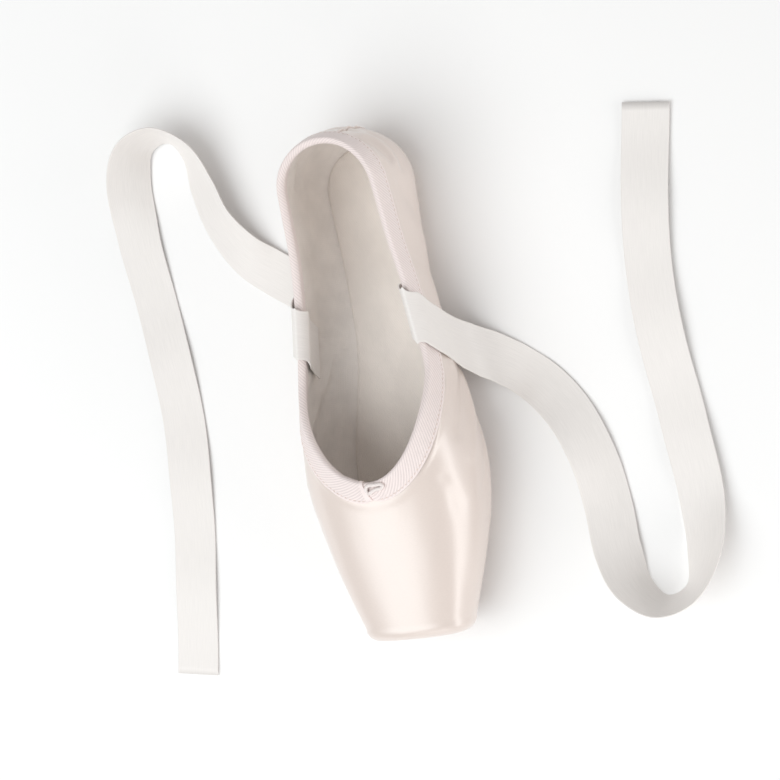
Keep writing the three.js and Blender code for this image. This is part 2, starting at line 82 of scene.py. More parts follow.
def table(columns, *rows):
    """Rows of numbers as a dictionary of named columns."""
    return dict(zip(columns.split(), np.array(rows, float).T))


LAST = table(
    "along half flat lift girth crown full",
    (12, 28, 19, 0, 22, 79, 2),
    (27, 28, 19, 0, 22, 79, 2),
    (52, 28, 17.5, 0, 21.5, 78.5, 2),
    (72, 30, 15.5, 2.6, 21, 77, 2),
    (95, 33, 14.5, 4, 21, 75, 2),
    (125, 38.3, 20, 2.2, 21, 68, 2.1),
    (146, 42, 25.5, 0, 21, 62.5, 2.2),
    (158, 43, 26.8, 0, 21, 59, 2.25),
    (171, 42.1, 27, 0, 21, 55, 2.3),
    (186, 39.5, 25.5, 0, 21.5, 51, 2.3),
    (204, 35, 21, 2, 22.5, 47, 2.35),
    (221, 29.4, 18, 4.2, 23.5, 43.2, 2.4),
    (236, 24.2, 16, 6.5, 24.5, 39.5, 2.4),
    (250, 19.4, 14, 8.7, 25.4, 36, 2.4),
)
TOPLINE = table(
    "around height",
    (-42, 57), (-15, 56), (18, 50), (50, 44.5), (75, 43.5), (100, 46), (135, 50),
)
EASE_REACH = 20
EASE_SHARES = (0.0625, 0.125, 0.1875, 0.25, 0.1875, 0.125, 0.0625)

# Ribbon routes: centre of the strip, then the heading in plan and the tilt of a line across it in
# degrees. A height of None lies on the floor. The right one is mirrored, with +Y outwards.
RIBBON_LEFT = (
    (-38, 27.6, 24, 7, 0), (-35, 27.5, 31, 7, 0), (-33, 26.2, 37, 7, 0), (-30, 24.7, 43.4, 7, 0),
    (-28, 28.3, 48.2, 7, 0), (-26, 32.3, 43.8, 7, 0), (-22, 34, 36, 7, 0), (-18, 35.1, 27, 7, 0),
    (-13, 36.9, 17, 6, 0), (-8, 41.7, 8, 2, 0), (-3, 49.3, 2.6, -6, 0),
    (4, 59.5, None, -18, 3), (14, 71, None, -38, 13), (29, 82, None, -56, 27),
    (48, 89, None, -74, 30), (71, 92, None, -84, 22), (92, 94, None, -80, 30),
    (109, 100, None, -58, 56), (118, 111, None, -14, 72), (114, 125, None, 44, 66),
    (98, 133, None, 77, 38), (72, 135, None, 91, 10), (38, 132, None, 96, 3),
    (2, 128, None, 95, 4), (-34, 127, None, 87, 5), (-70, 131, None, 82, 3),
    (-116, 139, None, 80, 0),
)
RIBBON_RIGHT = (
    (-18, 29.9, 24, 7, 0), (-21, 29.2, 31, 7, 0), (-23, 27.4, 37, 7, 0), (-26, 25.2, 43.4, 7, 0),
    (-28, 28.3, 48.7, 7, 0), (-30, 32, 43.8, 7, 0), (-34, 32.9, 36, 7, 0), (-38, 33.2, 27, 7, 0),
    (-43, 34.7, 17, 8, 0), (-48, 39.5, 8, 10, 0), (-53, 47.3, 2.6, 14, 0),
    (-60, 57.5, None, 24, -3), (-70, 69, None, 43, -15), (-86, 79, None, 61, -28),
    (-106, 85, None, 76, -34), (-124, 90, None, 62, -54), (-134, 101, None, 16, -72),
    (-131, 115, None, -44, -67), (-116, 124, None, -76, -38), (-90, 126, None, -92, -9),
    (-57, 123, None, -96, -3), (-21, 119, None, -94, -4), (15, 118, None, -88, -5),
    (51, 121, None, -83, -3), (87, 126, None, -81, 0), (131, 133, None, -82, 0),
)

# Drawstring knot's loop, in its own frame on the tape: towards the toe, to the left, and up. Its
# two ends go down into the tape's fold.
KNOT_SEAT, KNOT_ASIDE, KNOT_CORD = 1.8, 2.2, 1.7
KNOT_ROUTE = (
    (3, -8, -1.2), (2.8, -5.6, -1.2), (2.4, -3.7, -0.6), (1.5, -3.4, 0.7), (0.2, -3.6, 1.1),
    (-1.4, -3, 1.1), (-2.1, -1.5, 1.0), (-2, 0.4, 0.95), (-1.9, 2.4, 0.8), (-1.8, 3.9, 0.6),
    (-0.8, 4.6, 0.6), (0, 3.7, 0.8), (0.1, 2.2, 1.05), (0.4, 0.4, 1.25), (1, -1, 1.25),
    (1.8, -2.2, 0.8), (2.7, -2.2, -0.6), (2.9, -0.4, -1.2), (2.9, 2.2, -1.2),
)

# Soft creases of the satin: points by the way round the shoe and the height on the side wall, then
# width, depth (a ridge is above zero) and side (0 for both)
CREASES = (
    (((80, 15), (98, 24), (118, 38)), 3.2, -0.9, 0),
    (((84, 12), (108, 20), (130, 33)), 3.4, 0.7, 0),
    (((92, 11), (120, 17), (146, 27)), 3.6, -0.7, 0),
    (((76, 19), (88, 30), (100, 41)), 2.6, 0.6, 0),
    (((72, 14), (78, 26), (84, 38)), 2.4, -0.6, -1),
    (((70, 9.5), (76, 13), (86, 15)), 2.0, -0.9, 0),
    (((100, 9), (130, 8.5), (165, 9)), 2.6, -0.7, 0),
    (((96, 13.5), (128, 13), (160, 14)), 3.0, 0.4, 0),
    (((-24, 47), (-18, 40), (-10, 36)), 3.0, -1.2, 0),
    (((-26, 38), (-18, 33), (-8, 31)), 2.8, 0.8, 0),
    (((-25, 30), (-17, 27), (-6, 27)), 3.2, -0.9, 0),
    (((-14, 48), (-8, 42), (2, 38)), 3.4, 0.6, 0),
    (((-6, 44), (4, 34), (14, 22)), 4.0, -0.6, 0),
    (((14, 42), (22, 30), (30, 16)), 5.0, 0.5, 0),
    (((34, 38), (40, 26), (46, 13)), 4.5, -0.5, 0),
    (((150, 40), (175, 36), (203, 31)), 6.5, -0.28, 1),
    (((148, 33), (172, 29), (200, 25)), 6.5, 0.22, 1),
    (((150, 38), (176, 33), (203, 29)), 5.0, -0.4, -1),
    (((138, 47), (143, 44), (150, 41)), 3.5, -0.4, 1),
)
SIDE_SEAM = ((62, 40), (63, 32), (65, 22), (67, 13), (68, 8.5))
# Seam under the toe: way round the shoe and quarter of the section
TOE_SEAM = ((172, 0.7), (186, 0.84), (197, 0.97), (NOSE_FROM + 4, 1.06))
CREASE_STEPS, SEAM_STEPS, TOE_SEAM_STEPS = 24, 30, 40
SIDE_SEAM_RIDGE, SIDE_SEAM_WIDE, SIDE_SEAM_LAP, SIDE_SEAM_FADE = 0.5, 0.9, 0.4, 7
TOE_SEAM_RIDGE, TOE_SEAM_WIDE = 0.8, 1.1
GATHER_PITCH, GATHER_DEEP, GATHER_FADE = 6.5, 0.16, 7
EDGE_ROLL_HIGH, EDGE_ROLL_AT, EDGE_ROLL_WIDE = 0.3, TAPE_OUTSIDE + 1.2, 1.3
# Folds across the back of the heel: height, width and depth of each
HEEL_FOLDS = ((38, 1.9, -1.0), (34, 2.3, 0.5), (28, 2.0, -0.5), (23.5, 2.2, 0.3))
HEEL_FOLD_HALF, HEEL_FOLD_FROM, HEEL_FOLD_FULL = 12, 4, 24


def eased(rows, key, place="along"):
    """Curve through one column of a table, eased by its mean over a short stretch."""
    at, value = rows[place], rows[key]
    slope = np.diff(value) / np.diff(at)
    before, after = np.r_[slope[0], slope], np.r_[slope, slope[-1]]
    total = np.where(before * after > 0, before + after, 1)
    bend = np.where(before * after > 0, 2 * before * after / total, 0)

    def through(where):
        x = np.clip(where, at[0], at[-1])
        i = np.clip(np.searchsorted(at, x, side="right") - 1, 0, len(slope) - 1)
        span = at[i + 1] - at[i]
        t = (x - at[i]) / span
        u = 1 - t
        ends = value[i] * u * u * (1 + 2 * t) + value[i + 1] * t * t * (3 - 2 * t)
        return ends + span * t * u * (bend[i] * u - bend[i + 1] * t)

    def curve(where):
        where = np.asarray(where, float)
        spread = np.linspace(-0.5, 0.5, len(EASE_SHARES)) * EASE_REACH
        return sum(share * through(where + shift) for share, shift in zip(EASE_SHARES, spread))

    return curve


half_width = eased(LAST, "half")
flat_half = eased(LAST, "flat")
sole_lift = eased(LAST, "lift")
girth_height = eased(LAST, "girth")
crown_height = eased(LAST, "crown")
fullness = eased(LAST, "full")
topline_height = eased(TOPLINE, "height", "around")
HEEL_SQUASH = HEEL_CENTRE / float(half_width(HEEL_CENTRE))


def smooth(value, low, high):
    t = np.clip((value - low) / (high - low), 0, 1)
    return t * t * (3 - 2 * t)


def bell(value, width):
    return np.exp(-((value / width) ** 2))


def foot_along(around):
    return HEEL_CENTRE + np.clip(around, 0, NOSE_FROM)


def wall_at(along):
    return WALL + (BOX_WALL - WALL) * smooth(along, BOX_WALL_FROM, BOX_WALL_FULL)


def section_point(along, quarter, inset):
    """y and z on a cross-section: quarter 0 to 1 under the foot, to 2 up the side, to 3 over."""
    width = half_width(along)
    half = width - inset
    flat = flat_half(along) * half / width
    girth = girth_height(along)
    bottom = sole_lift(along) + SOLE_THICK + GAP + inset
    side = np.clip(quarter - 1, 0, 1) * QUARTER_TURN
    over = np.clip(quarter - 2, 0, 1) * QUARTER_TURN
    full = fullness(along)
    reach = (np.cos(over) ** full + np.sin(over) ** full) ** (-1 / full)
    rise = crown_height(along) - inset - girth
    y = np.where(quarter <= 2, flat + (half - flat) * np.sin(side), half * reach * np.cos(over))
    y = np.where(quarter <= 1, flat * np.clip(quarter, 0, 1), y)
    y = np.where(quarter >= CROWN, 0, y)
    low, high = girth - (girth - bottom) * np.cos(side), girth + rise * reach * np.sin(over)
    return y, np.where(quarter <= 2, low, high)


def form(around, quarter, inset=0.0):
    """The shoe's outer form on its left side, pushed inwards by an inset."""
    around, quarter, inset = np.broadcast_arrays(
        *[np.asarray(v, float) for v in (around, quarter, inset)]
    )
    along = foot_along(around)
    nose = np.maximum(0, around - NOSE_FROM) / PLATFORM_EDGE
    edge = PLATFORM_EDGE - inset
    y, z = section_point(along, quarter, inset + edge * (1 - np.cos(nose)))
    turn = np.clip(1 + around / HEEL_ARC, 0, 1) * QUARTER_TURN
    behind = around < 0
    x = along + edge * np.sin(nose) - LENGTH / 2
    x = x - np.where(behind, y * HEEL_SQUASH * np.cos(turn), 0)
    y = np.where(behind, y * np.sin(turn), y)
    y = np.where(around <= -HEEL_ARC, 0, y)
    return np.stack([x, y, z], -1)


def collar_quarter(around):
    along = foot_along(around)
    ahead = np.clip((along - THROAT_BACK) / THROAT_DEEP, 0, 1)
    full, girth = fullness(along), girth_height(along)

    def other(share):
        return (1 - np.minimum(1, share) ** full) ** (1 / full)

    up = (topline_height(around) - girth) / (crown_height(along) - girth)
    out = THROAT_HALF * np.sqrt(1 - ahead * ahead) / half_width(along)
    side = np.arctan2(up, other(up))
    throat = np.arctan2(other(out), np.minimum(1, out))
    turn = (side ** THROAT_BLEND + throat ** THROAT_BLEND) ** (1 / THROAT_BLEND)
    return np.where(ahead >= 1, CROWN, 2 + np.minimum(1, turn / QUARTER_TURN))


def rounded_end(along, start, end):
    return np.sqrt(1 - np.clip((along - start) / (end - start), 0, 1) ** 2)


def opening_quarter(around):
    along = foot_along(around)
    share = 1 - LASTED_MARGIN / flat_half(along)
    return share * rounded_end(along, UNDER_OPEN_ROUND, UNDER_OPEN_END)


def unit(vectors):
    return vectors / np.maximum(np.linalg.norm(vectors, axis=-1, keepdims=True), TINY)


TANGENT_STEP = 0.01
SIDE_FROM, SIDE_END, SIDE_PROBES = 1.02, CROWN - 0.02, 500


def form_tangents(around, quarter):
    low = np.clip(quarter, TANGENT_STEP, CROWN - TANGENT_STEP)
    by_around = form(around + TANGENT_STEP, low) - form(around - TANGENT_STEP, low)
    by_quarter = form(around, low + TANGENT_STEP) - form(around, low - TANGENT_STEP)
    return by_around / (2 * TANGENT_STEP), by_quarter / (2 * TANGENT_STEP)


def form_normal(around, quarter):
    """Outward normal of the form."""
    by_around, by_quarter = form_tangents(around, quarter)
    return unit(np.cross(by_quarter, by_around))


def on_side(around, height):
    """Quarter at which the side wall reaches a height."""
    quarters = np.linspace(SIDE_FROM, SIDE_END, SIDE_PROBES)
    return float(np.interp(height, form(around, quarters)[:, 2], quarters))


def side_line(points, count):
    """Way round, quarter and point along a line through given places on the side wall."""
    places = np.array([(around, on_side(around, height)) for around, height in points])
    run = np.linspace(0, 1, count) * (len(places) - 1)
    at = np.arange(len(places))
    around, quarter = (np.interp(run, at, places[:, k]) for k in (0, 1))
    return around, quarter, form(around, quarter)


def toe_seam(run):
    """Way round and quarter along the seam under the toe, at places counted in its points."""
    return [np.interp(run, range(len(TOE_SEAM)), part) for part in zip(*TOE_SEAM)]


def distance_to(points, line):
    """Distance of each point to a line, and its x offset from the nearest place on it."""
    best = np.full(len(points), np.inf)
    ahead = np.zeros(len(points))
    for start, end in zip(line[:-1], line[1:]):
        step = end - start
        t = np.clip((points - start) @ step / max(step @ step, TINY), 0, 1)
        away = points - (start + t[:, None] * step)
        length = np.linalg.norm(away, axis=1)
        ahead = np.where(length < best, away[:, 0], ahead)
        best = np.minimum(best, length)
    return best, ahead


CREASE_LINES = [(side_line(points, CREASE_STEPS)[2], *rest) for points, *rest in CREASES]
SIDE_SEAM_LINE = side_line(SIDE_SEAM, SEAM_STEPS)[2]
TOE_SEAM_LINE = form(*toe_seam(np.linspace(0, len(TOE_SEAM) - 1, TOE_SEAM_STEPS)))
RIGHT_SHIFT = np.array([2.5, 0, 0])
STRIP_HALF = 6.5
RELIEF_CLEAR, RELIEF_FULL = 5.0, 10.0
RELIEF_TOE_FROM, RELIEF_TOE_END = 201, 208


def heel_fold(points, around):
    """How far the back of the heel stands off the plain form, in folds across it."""
    _, y, z = np.moveaxis(points, -1, 0)
    fold = sum(deep * bell(z - at, wide) for at, wide, deep in HEEL_FOLDS)
    return fold * bell(y, HEEL_FOLD_HALF) * smooth(-around, HEEL_FOLD_FROM, HEEL_FOLD_FULL)


def relief(points, around, side):
    """How far the satin stands off the plain form on one side, at points on its left side."""
    shape = points.shape[:-1]
    flat = points.reshape(-1, 3)
    height = np.zeros(len(flat))
    for line, wide, deep, only in CREASE_LINES:
        if only in (0, side):
            line = line if side == LEFT else line + RIGHT_SHIFT
            height += deep * bell(distance_to(flat, line)[0], wide)
    height *= smooth(np.abs(flat[:, 1]), RELIEF_CLEAR, RELIEF_FULL)
    apart, ahead = distance_to(flat, SIDE_SEAM_LINE)
    height += SIDE_SEAM_RIDGE * bell(apart, SIDE_SEAM_WIDE)
    height += SIDE_SEAM_LAP * np.exp(-apart / SIDE_SEAM_FADE) * smooth(-ahead, 0, SIDE_SEAM_WIDE)
    height += TOE_SEAM_RIDGE * bell(distance_to(flat, TOE_SEAM_LINE)[0], TOE_SEAM_WIDE)
    height = height.reshape(shape) + heel_fold(points, around)
    return height * (1 - smooth(np.broadcast_to(around, shape), RELIEF_TOE_FROM, RELIEF_TOE_END))


WELD = 2e-6


class Shape:
    """A mesh gathered from grids of points, then welded where the grids meet."""

    def __init__(self):
        self.points, self.quads, self.maps, self.finishes = [], [], [], []
        self.count = 0

    def grid(self, points, uv=None, finish=0, mirror=False):
        rows, columns = points.shape[:2]
        index = self.count + np.arange(rows * columns).reshape(rows, columns)
        corners = (index[:-1, :-1], index[:-1, 1:], index[1:, 1:], index[1:, :-1])
        quads = np.stack(corners, -1).reshape(-1, 4)
        uv = np.zeros((rows, columns, 2)) if uv is None else uv
        self.points.append(points.reshape(-1, 3))
        self.maps.append(uv.reshape(-1, 2))
        self.quads.append(quads)
        self.finishes.append(np.full(len(quads), finish))
        self.count += rows * columns
        if mirror:
            self.grid(points * (1, -1, 1), uv, finish)

    def wall(self, first, second, uv=None, finish=0, mirror=False):
        """Joins two lines of as many points."""
        uv = None if uv is None else np.stack([uv, uv], 1)
        self.grid(np.stack([first, second], 1), uv, finish, mirror)

    def slab(self, top, bottom, uv):
        """Closes two like grids into a solid, with walls along all four borders."""
        self.grid(top, uv)
        self.grid(bottom, uv)
        for k in (0, -1):
            self.wall(top[:, k], bottom[:, k], uv[:, k])
            self.wall(top[k], bottom[k], uv[k])

    def build(self, name, *finishes, sharp=None):
        points = np.concatenate(self.points) * MM
        uv = np.concatenate(self.maps) * MM
        mesh = bpy.data.meshes.new(name)
        mesh.from_pydata(points.tolist(), [], np.concatenate(self.quads).tolist())
        corner = np.empty(len(mesh.loops), int)
        mesh.loops.foreach_get("vertex_index", corner)
        mesh.uv_layers.new(name="UVMap").data.foreach_set("uv", uv[corner].ravel())
        mesh.polygons.foreach_set("material_index", np.concatenate(self.finishes))
        work = bmesh.new()
        work.from_mesh(mesh)
        bmesh.ops.remove_doubles(work, verts=work.verts, dist=WELD)
        bmesh.ops.dissolve_degenerate(work, edges=work.edges, dist=WELD)
        bmesh.ops.recalc_face_normals(work, faces=work.faces)
        if not all(edge.is_manifold for edge in work.edges) or work.calc_volume(signed=True) < 0:
            raise ValueError(f"{name} is not a closed outward surface")
        work.to_mesh(mesh)
        work.free()
        for finish in finishes:
            mesh.materials.append(finish)
        mesh.shade_smooth()
        if sharp:
            mesh.set_sharp_from_angle(angle=math.radians(sharp))
        return link(bpy.data.objects.new(name, mesh))


def link(piece):
    bpy.context.scene.collection.objects.link(piece)
    return piece


def belongs(piece, slot, *nodes):
    """Ties a piece to the shoe's one body and hides the CAD nodes it stands for. The slot is not used.
    """
    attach(piece, "root")
    if nodes:
        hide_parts(*nodes)
    return piece


def run_along(line):
    return np.r_[0, np.cumsum(np.linalg.norm(np.diff(line, axis=0), axis=1))]


TUBE_START = (0.3, 0.5, 0.8)


def at_run(goals, run, points):
    """Points at distances along a line."""
    return np.stack([np.interp(goals, run, part) for part in points.T], -1)


def tube_grid(shape, line, radius, sides):
    """Adds a round tube along a line, closed at both ends."""
    radius = np.broadcast_to(radius, len(line))
    ahead = unit(np.gradient(line, axis=0))
    across = unit(np.cross(ahead[0], TUBE_START))
    run = run_along(line)
    turn = np.linspace(0, 2 * math.pi, sides + 1)
    rings = []
    for i, (centre, way) in enumerate(zip(line, ahead)):
        across = unit(across - way * (across @ way))
        up = np.cross(way, across)
        ring = np.cos(turn)[:, None] * across + np.sin(turn)[:, None] * up
        ring[-1] = ring[0]
        rings.append(centre + radius[i] * ring)
    rings = np.array(rings)
    first, last = (np.repeat(line[i][None, None], sides + 1, 1) for i in (0, -1))
    grid = np.concatenate([first, rings, last])
    along = np.r_[0, run, run[-1]]
    uv = np.stack(np.broadcast_arrays(along[:, None], turn[None] * radius.mean()), -1)
    shape.grid(grid, uv)


def spline(points, t, centripetal):
    """Points of a smooth curve through others, at places counted in its points."""
    points = np.asarray(points, float)
    full = np.concatenate([[2 * points[0] - points[1]], points, [2 * points[-1] - points[-2]]])
    i = np.minimum(t.astype(int), len(points) - 2)
    t = (t - i)[:, None]
    p0, p1, p2, p3 = (full[i + k] for k in range(4))
    if centripetal:
        d0, d1, d2 = (
            np.linalg.norm(b - a, axis=1, keepdims=True) ** 0.5
            for a, b in ((p0, p1), (p1, p2), (p2, p3))
        )
        m1 = ((p1 - p0) / d0 - (p2 - p0) / (d0 + d1) + (p2 - p1) / d1) * d1
        m2 = ((p2 - p1) / d1 - (p3 - p1) / (d1 + d2) + (p3 - p2) / d2) * d1
    else:
        m1, m2 = (p2 - p0) / 2, (p3 - p1) / 2
    u = 1 - t
    ends = p1 * u * u * (1 + 2 * t) + p2 * t * t * (3 - 2 * t)
    return ends + t * u * (m1 * u - m2 * t)


class Wire:
    """A socket of a finish's nodes that can stand in a Python sum."""

    def __init__(self, finish, socket):
        self.finish, self.socket = finish, socket

    def math(self, operation, *others):
        sockets = dict(enumerate((self, *others)))
        return self.finish.node("Math", {"operation": operation}, sockets)

    def __add__(self, other):
        return self.math("ADD", other)

    def __sub__(self, other):
        return self.math("SUBTRACT", other)

    def __mul__(self, other):
        return self.math("MULTIPLY", other)

    def __rsub__(self, other):
        return self.finish.node("Math", {"operation": "SUBTRACT"}, {0: other, 1: self})

    __radd__ = __add__
    __rmul__ = __mul__

    def wave(self, pitch, shift=0.0):
        """Goes from 0 to 1 and back once a pitch."""
        return (self * (2 * math.pi / pitch) + shift).math("SINE") * 0.5 + 0.5

    def size(self):
        return self.math("ABSOLUTE")

    def band(self, low, high):
        """Rises smoothly from 0 to 1 between two values, or falls if the second is lower."""
        ends = {1: min(low, high), 2: max(low, high), 3: 0.0, 4: 1.0}
        if low > high:
            ends.update({3: 1.0, 4: 0.0})
        return self.finish.node("MapRange", {"interpolation_type": "SMOOTHSTEP"}, {0: self, **ends})

    def most(self, other):
        return self.math("MAXIMUM", other)


class Finish:
    """A material in the making, with its nodes."""

    def __init__(self, name, **constants):
        self.material = bpy.data.materials.new(name)
        self.material.use_nodes = True
        self.tree = self.material.node_tree
        self.shader = self.tree.nodes["Principled BSDF"]
        for key, value in constants.items():
            self.shader.inputs[key.replace("_", " ")].default_value = value

    def node(self, kind, settings=None, sockets=None, out=0):
        made = self.tree.nodes.new("ShaderNode" + kind)
        for key, value in (settings or {}).items():
            setattr(made, key, value)
        for key, value in (sockets or {}).items():
            if isinstance(value, Wire):
                self.tree.links.new(value.socket, made.inputs[key])
            else:
                made.inputs[key].default_value = value
        return Wire(self, made.outputs[out])

    def place(self, kind):
        """Object or UV coordinates in millimetres, one wire for each axis."""
        where = self.node("TexCoord", out=kind)
        parts = self.node("SeparateXYZ", None, {0: where}).socket.node.outputs
        return [Wire(self, part) * (1 / MM) for part in parts]

    def vector(self, x, y, z=0.0):
        return self.node("CombineXYZ", None, {0: x, 1: y, 2: z})

    def noise(self, vector, scale=1.0, detail=2.0, roughness=0.5):
        sockets = {"Vector": vector, "Scale": scale, "Detail": detail, "Roughness": roughness}
        return self.node("TexNoise", None, sockets)

    def mix(self, share, first, second):
        sockets = {0: share, 6: colour(first), 7: colour(second)}
        return self.node("Mix", {"data_type": "RGBA"}, sockets, out=2)

    def shade(self, share, tint, low, high):
        """Goes from one share of a colour to another."""
        return self.mix(share, shaded(tint, low), shaded(tint, high))

    def bump(self, height, distance, normal=None):
        """Bump whose height of 1 stands for a distance in millimetres."""
        sockets = {"Height": height, "Distance": distance * MM, "Strength": 1.0}
        if normal is not None:
            sockets["Normal"] = normal
        return self.node("Bump", None, sockets)

    def done(self, **wires):
        for key, wire in wires.items():
            self.tree.links.new(wire.socket, self.shader.inputs[key.replace("_", " ")])
        return self.material


def colour(value):
    return value if isinstance(value, Wire) else (*tuple(value)[:3], 1.0)


def shaded(value, share):
    """A colour made darker or lighter by a share."""
    return tuple(min(1.0, channel * share) for channel in value)


OBJECT_PLACE, UV_PLACE = "Object", "UV"


def satin_finish(tint):
    """Glossy satin: fine threads across it and soft uneven tension."""
    finish = Finish(
        "shoe_satin", Specular_IOR_Level=0.9, Coat_Weight=0.9, Coat_Roughness=0.36, Coat_IOR=1.85
    )
    u, v, _ = finish.place(UV_PLACE)
    x, y, z = finish.place(OBJECT_PLACE)
    threads = finish.noise(finish.vector(u * 1.6, v * 0.7), detail=2.0)
    tension = finish.noise(finish.vector(x * 0.028, y * 0.06, z * 0.06), detail=1.0)
    tone = finish.shade(threads.band(0.3, 0.7), tint, 0.985, 1.01)
    tone = finish.mix(tension.band(0.3, 0.75) * 0.3, tone, shaded(tint, 0.95))
    soft = finish.bump(tension, 0.7)
    normal = finish.bump(threads, 0.02, soft)
    return finish.done(Base_Color=tone, Roughness=0.27 + threads * 0.06, Normal=normal)


def lining_finish(tint):
    """Plain cotton lining, matt, with an open weave."""
    finish = Finish("shoe_lining", Specular_IOR_Level=0.25, Sheen_Weight=0.2)
    u, v, _ = finish.place(UV_PLACE)
    weave = (u.wave(0.9) + v.wave(0.9)) * 0.5
    cloud = finish.noise(finish.vector(u * 0.08, v * 0.08), detail=3.0)
    tone = finish.shade(cloud.band(0.3, 0.7), tint, 0.94, 1.03)
    tone = finish.mix(weave * 0.25, tone, shaded(tint, 0.85))
    rough = 0.82 + cloud * 0.1
    return finish.done(Base_Color=tone, Roughness=rough, Normal=finish.bump(weave, 0.08))


def tape_finish(tint, rib):
    """Twill tape: slanting ribs with painted shade in the grooves between them, and a flatter selvedge
    along the outer edge, painted paler as a highlight.
    """
    finish = Finish("binding_twill", Specular_IOR_Level=0.35, Sheen_Weight=0.25)
    u, v, _ = finish.place(UV_PLACE)
    ribs = (u - v).wave(rib * math.sqrt(2)).band(0.05, 0.6)
    fibre = finish.noise(finish.vector(u * 2.5, v * 2.5), detail=2.0)
    edge = v.band(TAPE_OUTSIDE - 0.9, TAPE_OUTSIDE - 0.3)
    # Painted shade: the grooves between the ribs are darker.
    tone = finish.shade(ribs, tint, 0.9, 1.02)
    # Painted highlight: the outer edge is paler.
    tone = finish.mix(edge * 0.7, tone, shaded(tint, 1.05))
    height = ribs * (1 - edge * 0.8) + fibre * 0.3
    rough = 0.58 + fibre * 0.15
    return finish.done(Base_Color=tone, Roughness=rough, Normal=finish.bump(height, 0.12))


def sock_finish(tint):
    """Cotton twill sock with a fine diagonal."""
    finish = Finish("sock_twill", Specular_IOR_Level=0.2, Sheen_Weight=0.15)
    x, y, _ = finish.place(OBJECT_PLACE)
    ribs = (x + y * 1.1).wave(1.1)
    wear = finish.noise(finish.vector(x * 0.03, y * 0.05), detail=4.0)
    tone = finish.shade(wear.band(0.35, 0.7), tint, 0.93, 1.03)
    tone = finish.mix(ribs * 0.3, tone, shaded(tint, 0.86))
    return finish.done(Base_Color=tone, Roughness=0.85 + wear * 0.1, Normal=finish.bump(ribs, 0.07))


def thread_finish(name, tint):
    """Twisted sewing thread."""
    finish = Finish(name, Specular_IOR_Level=0.4, Sheen_Weight=0.2)
    x, y, z = finish.place(OBJECT_PLACE)
    twist = (x * 1.3 + y * 1.7 + z * 1.5).wave(0.5)
    tone = finish.shade(twist * 0.6, tint, 1.02, 0.86)
    return finish.done(Base_Color=tone, Roughness=0.5 + twist * 0.15)


def elastic_finish(tint):
    """Braided elastic cord."""
    finish = Finish("cord_braid", Specular_IOR_Level=0.4, Sheen_Weight=0.2)
    u, v, _ = finish.place(UV_PLACE)
    braid = (u + v * 0.8).wave(0.7).most((u - v * 0.8).wave(0.7))
    tone = finish.shade(braid, tint, 0.93, 1.02)
    return finish.done(Base_Color=tone, Roughness=0.5 + braid * 0.1, Normal=finish.bump(braid, 0.1))


def ribbon_finish(tint):
    """Soft satin ribbon: fine ribs across, a firm selvedge on both edges."""
    finish = Finish("ribbon_satin", Specular_IOR_Level=0.5, Sheen_Weight=0.15)
    u, v, _ = finish.place(UV_PLACE)
    x, y, z = finish.place(OBJECT_PLACE)
    edge = v.size().band(RIBBON_WIDE / 2 - 1.1, RIBBON_WIDE / 2 - 0.5)
    ribs = u.wave(0.55)
    threads = finish.noise(finish.vector(u * 0.1, v * 3.0), detail=2.0)
    cloud = finish.noise(finish.vector(x * 0.02, y * 0.02, z * 0.02), detail=2.0)
    tone = finish.shade(threads.band(0.3, 0.7), tint, 0.965, 1.02)
    tone = finish.mix(cloud.band(0.3, 0.7) * 0.3, tone, shaded(tint, 0.94))
    tone = finish.mix(edge * 0.6, tone, shaded(tint, 1.03))
    rough = 0.36 + threads * 0.1 + edge * 0.15
    height = ribs * 0.25 + threads * 0.6 + edge * ribs * 0.8
    return finish.done(Base_Color=tone, Roughness=rough, Normal=finish.bump(height, 0.03))


def floor_finish(tint):
    finish = Finish("floor_paper", Specular_IOR_Level=0.1, Roughness=0.9)
    x, y, _ = finish.place(OBJECT_PLACE)
    cloud = finish.noise(finish.vector(x * 0.002, y * 0.002), detail=2.0)
    return finish.done(Base_Color=finish.shade(cloud, tint, 0.995, 1.0))


def sole_finish(tint, line):
    """Suede split leather: napped, darker at its waist, brown in the pressed lines."""
    finish = Finish("sole_suede", Specular_IOR_Level=0.15, Sheen_Weight=0.2)
    groove, edge, _ = finish.place(UV_PLACE)
    x, y, z = finish.place(OBJECT_PLACE)
    nap = finish.noise(finish.vector(x * 1.6, y * 1.6, z * 1.6), detail=4.0, roughness=0.65)
    patch = finish.noise(finish.vector(x * 0.05, y * 0.08, z * 0.05), detail=3.0)
    waist = x.band(-65, -30) * x.band(25, -5)
    tone = finish.shade(nap.band(0.3, 0.7), tint, 0.86, 1.1)
    tone = finish.mix(patch.band(0.4, 0.75) * 0.4, tone, shaded(tint, 0.82))
    tone = finish.mix(waist * 0.45, tone, shaded(tint, 0.75))
    tone = finish.mix(edge.band(1.2, 0.2) * 0.5, tone, shaded(tint, 1.18))
    tone = finish.mix(groove * 0.75, tone, line)
    normal = finish.bump(nap * 0.5 + patch * 0.5, 0.12)
    return finish.done(Base_Color=tone, Roughness=0.8 + nap * 0.15, Normal=normal)


SATIN, LINING, TAPE, SOCK, SOLE, RIBBON, ELASTIC = (
    "shoe_satin", "shoe_lining", "binding_twill", "sock_twill", "sole_suede", "ribbon_satin",
    "cord_braid",
)
# The last finish is painted shade: dark blobs that stand for the needle holes in the sole.
THREAD, TAPE_THREAD_AND_HOLE_SHADE, SOLE_THREAD, HOLE_SHADE_FINISH = (
    "seam_thread", "tape_thread_and_hole_shade", "sole_thread", "needle_hole_shade",
)


